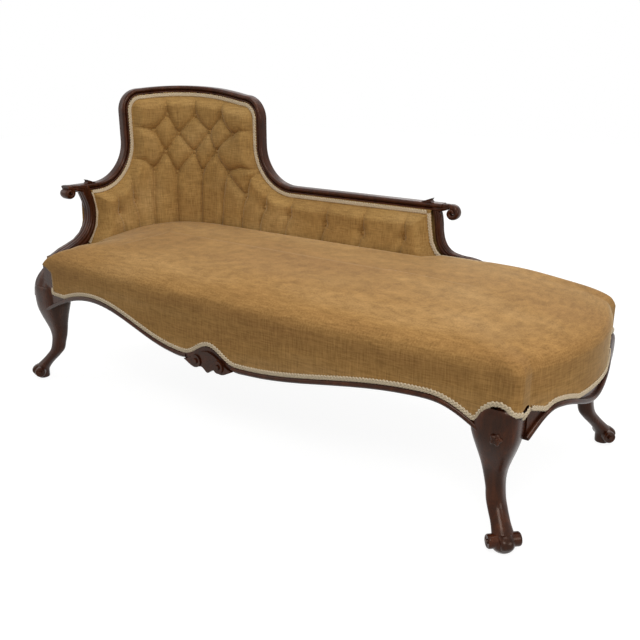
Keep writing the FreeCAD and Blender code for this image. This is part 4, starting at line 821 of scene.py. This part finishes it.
def skirt_low(x, y, mark):
    """Lower edge of the cover under a point of the outline."""
    if mark == "front":
        if x > KNEE_ARCH[0][0]:
            return float(read_off(KNEE_ARCH, x))
        low = front_edge(min(max(x, BLOCK), LONG - BLOCK)) + SKIRT_UP
        return max(low, 308.0) if x < 260 else max(low, 287.0) if x > 1500 else low
    if mark == "foot":
        low = foot_edge(min(max(y, BLOCK), DEEP - BLOCK)) + SKIRT_UP
        return max(low, 296.0 + 18 * max(0, 1 - abs(y - 60) / 60))
    if mark == "corner_front":
        return float(read_off(KNEE_ARCH, x - y))
    if mark == "corner_rear":
        return 331.0
    if mark == "rear":
        return 328.0 if x > LONG - BLOCK else 326.5
    if mark == "lead":
        return 310.0
    return 402.0


HEAD_EDGE = [(-60, 330), (0, 338), (30, 350), (60, 359), (97, 391), (140, 404), (172, 415), (197, 424),
             (232, 437), (343, 453), (474, 468), (590, 477), (2000, 477)]


def head_fall(x, y, z):
    """Height of a point of the seat, brought down towards the head end and its curved support."""
    if x < CORNER and y > STRAIGHT:
        turn = math.atan2(y - STRAIGHT, CORNER - x)
        run, inset = STRAIGHT + CORNER * turn, CORNER - math.hypot(CORNER - x, y - STRAIGHT)
    elif x >= CORNER:
        run, inset = run_of_x(x), DEEP - y
        if y < STRAIGHT:
            return z
    else:
        run, inset = y, x
    edge = float(read_off(HEAD_EDGE, run))
    part = min(max((inset - SUPPORT_SIDE) / 270, 0.0), 1.0)
    steep = float(np.interp(run, [40, 110, 190], [0.33, 0.5, 1.0]))
    top = edge + (483 - edge) * math.sin(part * math.pi / 2) ** steep
    return z if z < top - 12 else min(z, top - 12 + 12 * (1 - math.exp(-(z - top + 12) / 12)))


KNEE_CLEAR = [(-10, 112), (20, 94), (74, 50), (120, SUPPORT_SIDE)]


def lowered(point):
    """The point brought down at the head end and kept clear of the front left knee."""
    x, y, z = workshop(point)
    z = head_fall(x, y, z)
    knee = float(read_off(KNEE_CLEAR, y))
    knee = SUPPORT_SIDE + (knee - SUPPORT_SIDE) * min(max((408 - z) / 26, 0.0), 1.0)
    return world(max(x, knee) if y < KNEE_CLEAR[-1][0] else x, y, z)


def seat_shell():
    """The cover from the lower edge of the skirt over the rolled edge to the crown."""
    base, marks = seat_ring(0, 0, 0, 0)
    lows = [skirt_low(x, y, mark) for (x, y), mark in zip(base, marks)]
    rings = []
    for k in range(15):
        part = k / 14
        rings.append([world(x, y, low + (WALL_TOP - low) * part) for (x, y), low in zip(base, lows)])
    for drop, *takes in glide(SEAT_ROLL, 5)[1:]:
        ring, _ = seat_ring(*(max(take, 0) for take in takes))
        rings.append([world(x, y, SEAT_TOP - max(drop, 0) + 1) for x, y in ring])
    last, _ = seat_ring(*SEAT_ROLL[-1][1:])
    for k in range(1, 17):
        part = k / 16
        z = SEAT_TOP + 1 + CROWN * math.sin(part * math.pi / 2)
        rings.append([world(x + (min(max(x, SPINE_LEFT), SPINE_RIGHT) - x) * part, y + (SPINE_Y - y) * part, z)
                      for x, y in last])
    rings = [[lowered(p) for p in ring] for ring in rings]
    return rings_mesh("seat", rings, closed=True, caps=False, sharp=180)


SEAT_VELVET = velvet("velvet_seat", (1.0, 0.93, 0.9))
seat = piece("seat_cover_dressed", seat_shell(), SEAT_VELVET, "velvet", "seat_cover", "seat_stuffing")


# Braid along the skirt: up the left leg, along the front, over the front leg, along the foot end

BRAID_UP, BRAID_PROUD = 6.0, 0.8


def skirt_front(x):
    return skirt_low(x, 0, "front") + BRAID_UP


def round_corner(y, first, t, z):
    """Braid's row round a right corner: centre at depth y, t from 0 to 1 past a first angle."""
    turn = first + math.pi / 2 * t
    out = Vector((math.cos(turn), math.sin(turn), 0))
    return row(world(LONG - ROUND, y, z) + out * ((ROUND + BRAID_PROUD) / 1000), out)


LEFT_RISE = [(50, 74, 382), (56, 56, 374), (66, 38, 364), (80, 22, 350), (94, 8, 336), (104, -3, 324),
             (112, -7, 317)]
path = [row(world(*p), Vector((-0.3, -1, 0.2))) for p in LEFT_RISE]
path += [row(front_point(x, BRAID_PROUD, skirt_front(x)), front_normal(x)) for x in range(118, 1664, 3)]
path += [round_corner(ROUND, -math.pi / 2, t, float(read_off(KNEE_ARCH, 1664 + ROUND * t)) + BRAID_UP)
         for t in np.linspace(0, 1, 12)]
path += [row(world(LONG + BRAID_PROUD, y, skirt_low(LONG, y, "foot") + BRAID_UP), EAST)
         for y in np.arange(26, BLOCK, 3)]
foot_path = [row(foot_point(y, BRAID_PROUD, skirt_low(0, y, "foot") + BRAID_UP), foot_normal(y))
             for y in np.arange(BLOCK + 2, DEEP - BLOCK - 1, 4)]
braid_piece("front_braid", [path], "front_gimp")
braid_piece("foot_end_braid", [foot_path], "foot_end_gimp")
corner_path = [row(world(LONG + BRAID_PROUD, y, 336), EAST)
               for y in np.arange(DEEP - BLOCK + 1, DEEP - 24, 4)]
corner_path += [round_corner(DEEP - ROUND, 0, t, 336) for t in np.linspace(0, 1, 10)]
corner_path += [row(world(x, DEEP + BRAID_PROUD, 333), NORTH) for x in np.arange(LONG - 26, REAR_START, -6)]
outside_path = [row(at(run, -5.0, 333.0), -inwards(run)) for run in np.arange(60, run_of_x(REAR_START), 5)]
braid_piece("outside_braid", [corner_path, outside_path], "outside_gimp")


# Beads of the front and foot rails

BEAD_OUT, BEAD_UP = 6.5, 6.3
BEAD_RAISE = 6


def bead(name, points, normals):
    """Half-round bead along a rail's lower edge."""
    rings = []
    for k, (point, normal) in enumerate(zip(points, normals)):
        ahead = points[min(k + 1, len(points) - 1)] - points[max(k - 1, 0)]
        up = ahead.normalized().cross(normal).normalized()
        rings.append([point + normal * (BEAD_OUT / 1000 * math.cos(t)) + up * (BEAD_UP / 1000 * math.sin(t))
                      for t in turns(16)])
    return piece(name, rings_mesh(name, rings, sharp=60), WOOD, "show_wood")


def front_bead(name, xs):
    bead(name, [front_point(x, 0.5, front_edge(x) + BEAD_RAISE) for x in xs], [front_normal(x) for x in xs])


marks = np.arange(BLOCK, LONG - BLOCK + 0.1, 6)
front_bead("front_bead_left", [x for x in marks if x < DIP_X - 80])
front_bead("front_bead_right", [x for x in marks if x > DIP_X + 80])
ys = np.arange(BLOCK, DEEP - BLOCK + 0.1, 6)
bead("foot_end_bead", [foot_point(y, 0.5, foot_edge(y) + BEAD_RAISE) for y in ys],
     [foot_normal(y) for y in ys])


# Cabriole legs

TOE_OUT, SCROLL_HIGH = 24, 27
LEG_STATIONS = [
    # height, step back along the diagonal, half width, squareness
    (0, -2, 15, 2.2), (3, -3, 19, 2.3), (14, -8, 24, 2.4), (28, -8, 25, 2.5), (42, 2, 23, 2.6),
    (58, 18, 21, 2.6), (78, 38, 21, 2.7), (100, 54, 21, 2.8), (137, 61, 20.5, 3.0), (165, 60, 22.5, 3.0),
    (190, 55, 26.5, 3.0), (222, 48, 33, 3.0), (250, 44, 38, 3.0), (278, 43, 40, 3.0), (313, 41, 38, 3.2),
    (326, 42, 34, 3.4),
]


def placed(rings, cx, cy, turn):
    """Rings of a leg's own frame, turned about its corner and set in the row frame."""
    c, s = math.cos(turn), math.sin(turn)
    return [[world(cx + p[0] * c - p[1] * s, cy + p[0] * s + p[1] * c, p[2]) for p in ring] for ring in rings]


def volute(centre, axis, radius, thick):
    """Scroll end: a drum with a stepped eye on both faces. Millimetres, local frame."""
    axis = Vector(axis).normalized()
    a = axis.cross(UP).normalized()
    b = axis.cross(a).normalized()
    half = thick / 2
    profile = [(-half - 2.5, 0.16), (-half - 2.0, 0.3), (-half + 1.5, 0.36), (-half + 1.5, 0.62),
               (-half + 0.5, 0.7), (-half, 0.86), (-half + 2, 0.97), (-half + 5, 1.0)]
    profile += [(-offset, r) for offset, r in profile[::-1]]
    return [[centre + axis * offset + (a * math.cos(t) + b * math.sin(t)) * (r * radius) for t in turns(36)]
            for offset, r in profile]


KNEE_GROWTH = [(120, 0), (190, 0.45), (262, 1), (340, 1)]


def leg_rings(wide_a, wide_b):
    """Rings of the shaft; the knee reaches further along its rails by two widths."""
    rings = []
    for z, back, half, power in glide(LEG_STATIONS, 6):
        step = back * LEAN
        grow = float(read_off(KNEE_GROWTH, z))
        a, b = wide_a * grow / 2, wide_b * grow / 2
        rings.append(soft_square(EAST, NORTH, half + a, half + b, Vector((step + a, step + b, z)), power))
    return rings


def leg_shapes(cx, cy, turn, wide_a, wide_b):
    """Cabriole leg with a scrolled foot: a toe rolled under and a volute at each side."""
    cross = Vector((1, -1, 0)).normalized()
    out = Vector((-1, -1, 0)).normalized()
    foot = volute(out * 6 + UP * SCROLL_HIGH, cross, 16.5, 76)
    toe = []
    for k in range(13):
        t = math.pi * (k / 12)
        middle = out * (4 + TOE_OUT * math.sin(t)) + Vector((0, 0, 26 + 12 * math.cos(t)))
        lift = (out * math.sin(t) + UP * math.cos(t)).normalized()
        toe.append(soft_square(cross, lift, 17 - 3 * (k / 12), 10, middle, 2.6, 24))
    return [rings_mesh(part, placed(rings, cx, cy, turn), sharp=60)
            for part, rings in (("shaft", leg_rings(wide_a, wide_b)), ("foot_scroll", foot), ("toe", toe))]


def knee_flower():
    """Small carved flower on the front right knee."""
    middle = world(LONG - 40, -13, 262)
    out = Vector((0.35, -0.9, 0.15)).normalized()
    side = UP.cross(out).normalized()
    up = out.cross(side)
    rings = []
    for rise, radius in ((-4, 13), (1.5, 12.4), (4.0, 9.5), (4.6, 5.5), (7.5, 4.4), (8.2, 1.6)):
        ring = []
        for t in turns(40):
            r = radius * (1 + (0.16 * math.cos(5 * t) if radius > 5 else 0))
            ring.append(middle + (side * math.cos(t) + up * math.sin(t)) * (r / 1000) + out * (rise / 1000))
        rings.append(ring)
    return rings_mesh("flower", rings, sharp=70)


def tucked_under_cover(mesh):
    """The front right leg's mesh with the part in front of the cover cut down to the arch of its edge."""
    for point in mesh.vertices:
        x, y, z = workshop(point.co)
        rim = float(read_off(KNEE_ARCH, x)) + 2
        if z > rim and y < 8:
            point.co.z = rim / 1000 + SHIFT.z


REAR_LEFT = (CORNER - CORNER * LEAN, STRAIGHT + CORNER * LEAN)
LEGS = [
    # name, corner of the frame, turn, extra width along the two rails
    ("front_left_leg", (0, 0), 0, (36, 6)), ("front_right_leg", (LONG - 12, -2), 90, (6, 30)),
    ("rear_right_leg", (LONG, DEEP), 180, (10, 10)), ("rear_left_leg", REAR_LEFT, 270, (10, 10)),
]
for name, corner, turn, wide in LEGS:
    shapes = leg_shapes(*corner, math.radians(turn), *wide)
    if name == "front_right_leg":
        leg = joined(name, [*shapes, knee_flower()])
        tucked_under_cover(leg)
    else:
        leg = joined(name, shapes)
    piece(name + "_carved", leg, WOOD, "show_wood", name)
for name, y0 in (("front_right_block", 4), ("rear_right_block", DEEP - 57)):
    half = 53 / 2
    middles = [Vector((LONG - 57 + half, y0 + half, z)) for z in (322, 336, 360, 400)]
    rings = [[world(*p) for p in soft_square(EAST, NORTH, half, half, middle, 6)] for middle in middles]
    piece(name, rings_mesh(name, rings, sharp=60), WOOD, "show_wood")


# S-shaped supports

REEDS, REED_DEEP = 3, 1.6


def reed(across):
    """Depth of the reeding at a part of the band's width, from -1 to 1."""
    return REED_DEEP * (0.5 - 0.5 * math.cos(REEDS * math.pi * (across + 1)))


def s_sweep(stations, place):
    """Reeded band swept along a spine: stations are u, z, tilt in degrees, half width, half thickness."""
    rings = []
    for u, z, tilt, half_v, half_x in glide(stations, 6):
        lean = math.radians(tilt)
        ring = []
        for t in turns(64):
            c, s = math.cos(t), math.sin(t)
            grow = (abs(c) ** 5 + abs(s) ** 5) ** -0.2
            a, b = c * grow, s * grow
            reach = a * (half_x - (reed(b) if abs(a) > 0.9 else 0))
            lift = b * (half_v - (reed(a) if abs(b) > 0.9 else 0))
            ring.append(place(u + lift * math.cos(lean), reach, z - lift * math.sin(lean)))
        rings.append(ring)
    return rings_mesh("support", rings, sharp=SHARP)


SCROLL_STEPS = 60


def scroll_band(centre_u, centre_z, place, sign, half):
    """Band rolled into the scroll at a support's head, its inner turns standing prouder."""
    rings = []
    for k in range(SCROLL_STEPS + 1):
        part = k / SCROLL_STEPS
        turn = math.radians(90 + sign * 20 - sign * 470 * part)
        radius = 17.5 - 12.5 * part
        thick = 9.8 - 4.8 * part
        width = half + 3.0 * part
        ring = []
        for t in turns(20):
            c, s = math.cos(t), math.sin(t)
            grow = (abs(c) ** 3 + abs(s) ** 3) ** (-1 / 3)
            r = radius + thick * s * grow
            ring.append(place(centre_u + sign * r * math.cos(turn), width * c * grow,
                              centre_z + r * math.sin(turn)))
        rings.append(ring)
    return rings_mesh("scroll", rings, sharp=60)


ARM_HALF, END_HALF = 19, 13
ARM_SIDE = [(31, 47), (32, 46), (35, 41), (45, 27), (74, 23), (180, ARM_HALF)]
ARM_STATIONS = [
    (31, 290, 0, 37, 55), (32, 316, 4, 35, 54), (35, 340, 14, 30, 49), (45, 366, 38, 23, 33),
    (74, 393, 60, 19, 25),
    (108, 410, 70, 17.5, 24), (137, 420, 71, 17, 22), (164, 431, 62, 17, 20), (188, 444, 53, 17.5, 19),
    (207, 462, 42, 16.5, 19), (222, 485, 27, 15.5, 19), (230, 508, 12, 14.5, 19), (233, 532, 0, 14.5, 19),
    (232, 556, -8, 15, 19), (226, 580, -18, 16, 19), (217, 606, -24, 17, 19), (212, 618, -24, 17, 18.5),
]
ARM_NECK = [(215, 612, 70, 13, 18), (195, 618, 84, 12, 18.5), (176, 622, 94, 10, 18.5),
            (160, 626, 104, 7, 17)]
END_STATIONS = [
    (1134, 606, 14, 11, 13), (1140, 590, 8, 11, 13), (1144, 565, -4, 11, 13), (1147, 535, -12, 11, 13),
    (1154, 508, -24, 11.5, 13), (1168, 486, -42, 11.5, 13), (1190, 471, -62, 11.5, 13),
    (1222, 464, -80, 11, 13), (1256, 462, -84, 10.5, 13), (1284, 456, -66, 10, 13), (1304, 440, -42, 9.5, 13),
    (1318, 418, -30, 9, 13), (1324, 402, -25, 9, 13),
]
END_NECK = [(1128, 610, 80, 12, 13), (1148, 611, 88, 12, 13), (1166, 613, 94, 10, 13),
            (1180, 616, 104, 7, 12)]


def arm_spread(u, reach, z):
    """Place on the arm support, whose foot widens over the leg."""
    return world(float(read_off(ARM_SIDE, u)) + reach, u, z)


def arm_place(u, reach, z):
    return world(ARM_HALF + reach, u, z)


def end_place(u, reach, z):
    return world(u, DEEP - END_HALF + reach, z)


arm_parts = [s_sweep(ARM_STATIONS, arm_spread), scroll_band(150, 608, arm_place, -1, ARM_HALF),
             s_sweep(ARM_NECK, arm_place)]
piece("arm_support_carved", joined("arm_support", arm_parts), WOOD, "show_wood", "arm_support")
end_parts = [s_sweep(END_STATIONS, end_place), scroll_band(1187, 597, end_place, 1, END_HALF),
             s_sweep(END_NECK, end_place)]
piece("end_support_carved", joined("end_support", end_parts), WOOD, "show_wood", "end_support")


# Outside of the back: one cloth stretched over the frame

CLOTH_LOW, CLOTH_HEM, CLOTH_OUT = 327, 400.0, -2.6
ARM_TAIL = [(44, 404), (74, 410), (108, 426), (140, 436), (170, 447), (196, 466), (213, 490), (219, 520),
            (217, 556), (205, 590)]
END_TAIL = [(1120, 596), (1130, 560), (1134, 530), (1142, 500), (1160, 476), (1190, 460), (1230, 453),
            (1264, 450), (1290, 438), (1312, 410), (1380, 404)]


def heights_at(line, run):
    """Heights at which a laid-out line passes a run."""
    found = []
    for (ax, az), (bx, bz) in zip(line, line[1:]):
        if min(ax, bx) <= run <= max(ax, bx) and abs(bx - ax) > 1e-6:
            found.append(az + (bz - az) * (run - ax) / (bx - ax))
    return found


def outside_cloth():
    """The cloth from the rear rail up to the show wood, drawn in a little between its edges."""
    lines = (ARM_TAIL, [(run_of_x(x), z) for x, z in END_TAIL], LINE + INWARD * 20.0)
    columns = []
    for run in np.arange(61, run_of_x(REAR_START - 3), 5.0):
        tops = [height for line in lines for height in heights_at(line, run)]
        top = max(min(tops, default=WALL_TOP), CLOTH_HEM)
        column = []
        for k in range(41):
            part = k / 40
            sag = 1.2 * math.sin(math.pi * part) * min(1.0, (top - CLOTH_LOW) / 200)
            column.append(at(run, CLOTH_OUT + sag, CLOTH_LOW + (top - CLOTH_LOW) * part))
        columns.append(column)
    return rings_mesh("outside", columns, closed=False, caps=False, sharp=180)


OUTSIDE_VELVET = velvet("velvet_outside", (0.92, 0.92, 0.9))
outside = piece("outside_back_dressed", outside_cloth(), OUTSIDE_VELVET, "velvet", "outside_back_cover")


# Camera, light and floor

PHOTO_SIDE, FOCAL = 640.0, 773.0
TURN, DROP = math.radians(36.5), math.radians(18.3)
camera_data = bpy.data.cameras.new("photo_camera")
camera_data.sensor_width = 36.0
camera_data.lens = FOCAL / PHOTO_SIDE * camera_data.sensor_width
camera_data.clip_end = 100.0
camera = bpy.data.objects.new("photo_camera", camera_data)
camera.location = world(2213.4, -1410.0, 1012.0)
look = Vector((-math.sin(TURN) * math.cos(DROP), math.cos(TURN) * math.cos(DROP), -math.sin(DROP)))
camera.rotation_euler = look.to_track_quat("-Z", "Y").to_euler()
bpy.context.scene.collection.objects.link(camera)
bpy.context.scene.camera = camera


def lamp(name, place, aim, size, power):
    """Area lamp that looks at a point."""
    data = bpy.data.lights.new(name, "AREA")
    data.shape = "RECTANGLE"
    data.size, data.size_y = size
    data.energy = power
    obj = bpy.data.objects.new(name, data)
    obj.location = place
    obj.rotation_euler = (Vector(aim) - Vector(place)).to_track_quat("-Z", "Y").to_euler()
    bpy.context.scene.collection.objects.link(obj)


lamp("key_lamp", (1.6, -2.4, 2.9), (0, 0, 0.4), (1.6, 1.2), 50)
lamp("fill_lamp", (-2.8, -1.6, 1.9), (0, 0, 0.4), (1.6, 1.6), 10)
lamp("foot_lamp", (3.4, -0.6, 1.5), (0.7, 0, 0.3), (1.2, 1.2), 22)
lamp("top_lamp", (0.3, 0.5, 3.2), (0, 0, 0.3), (2.4, 1.6), 34)
lamp("rear_lamp", (-0.6, 3.0, 2.2), (0, 0, 0.4), (2.2, 1.4), 16)


def seen_white(tree):
    """One for what the camera sees straight, in a mirror or through glass, else nothing."""
    path = tree.nodes.new("ShaderNodeLightPath")
    straight = math_node(tree, "MAXIMUM", path.outputs["Is Camera Ray"], path.outputs["Is Glossy Ray"])
    return math_node(tree, "MAXIMUM", straight, path.outputs["Is Transmission Ray"])


def seen_strength(tree, unseen, seen):
    """Strength of a light that has one value where it is seen and another for the object's light."""
    strength = tree.nodes.new("ShaderNodeMapRange")
    strength.inputs["To Min"].default_value = unseen
    strength.inputs["To Max"].default_value = seen
    tree.links.new(seen_white(tree), strength.inputs["Value"])
    return strength.outputs["Result"]


studio = bpy.data.worlds.new("studio")
studio.use_nodes = True
bpy.context.scene.world = studio
backing = studio.node_tree.nodes["Background"]
backing.inputs["Color"].default_value = (1, 1, 1, 1)
studio.node_tree.links.new(seen_strength(studio.node_tree, 0.3, 1.0), backing.inputs["Strength"])


def floor_material():
    """Pale floor that looks white and still takes the object's shadow."""
    mat, tree, shader = new_material("floor_pale")
    shader.inputs["Base Color"].default_value = (0.2, 0.2, 0.195, 1.0)
    shader.inputs["Roughness"].default_value = 0.9
    glow = tree.nodes.new("ShaderNodeEmission")
    glow.inputs["Color"].default_value = (1, 1, 1, 1)
    tree.links.new(seen_strength(tree, 0.0, 0.9), glow.inputs["Strength"])
    both = tree.nodes.new("ShaderNodeAddShader")
    tree.links.new(shader.outputs["BSDF"], both.inputs[0])
    tree.links.new(glow.outputs["Emission"], both.inputs[1])
    tree.links.new(both.outputs["Shader"], tree.nodes["Material Output"].inputs["Surface"])
    return mat


FLOOR_HALF = 9
floor_mesh = bpy.data.meshes.new("floor")
floor_mesh.from_pydata([(x, y, 0) for x, y in ((-FLOOR_HALF, -FLOOR_HALF), (FLOOR_HALF, -FLOOR_HALF),
                                               (FLOOR_HALF, FLOOR_HALF), (-FLOOR_HALF, FLOOR_HALF))],
                       [], [(0, 1, 2, 3)])
floor_mesh.materials.append(floor_material())
floor = bpy.data.objects.new("floor", floor_mesh)
floor.location.z = -0.0005
bpy.context.scene.collection.objects.link(floor)

bpy.context.scene.view_settings.view_transform = "Standard"
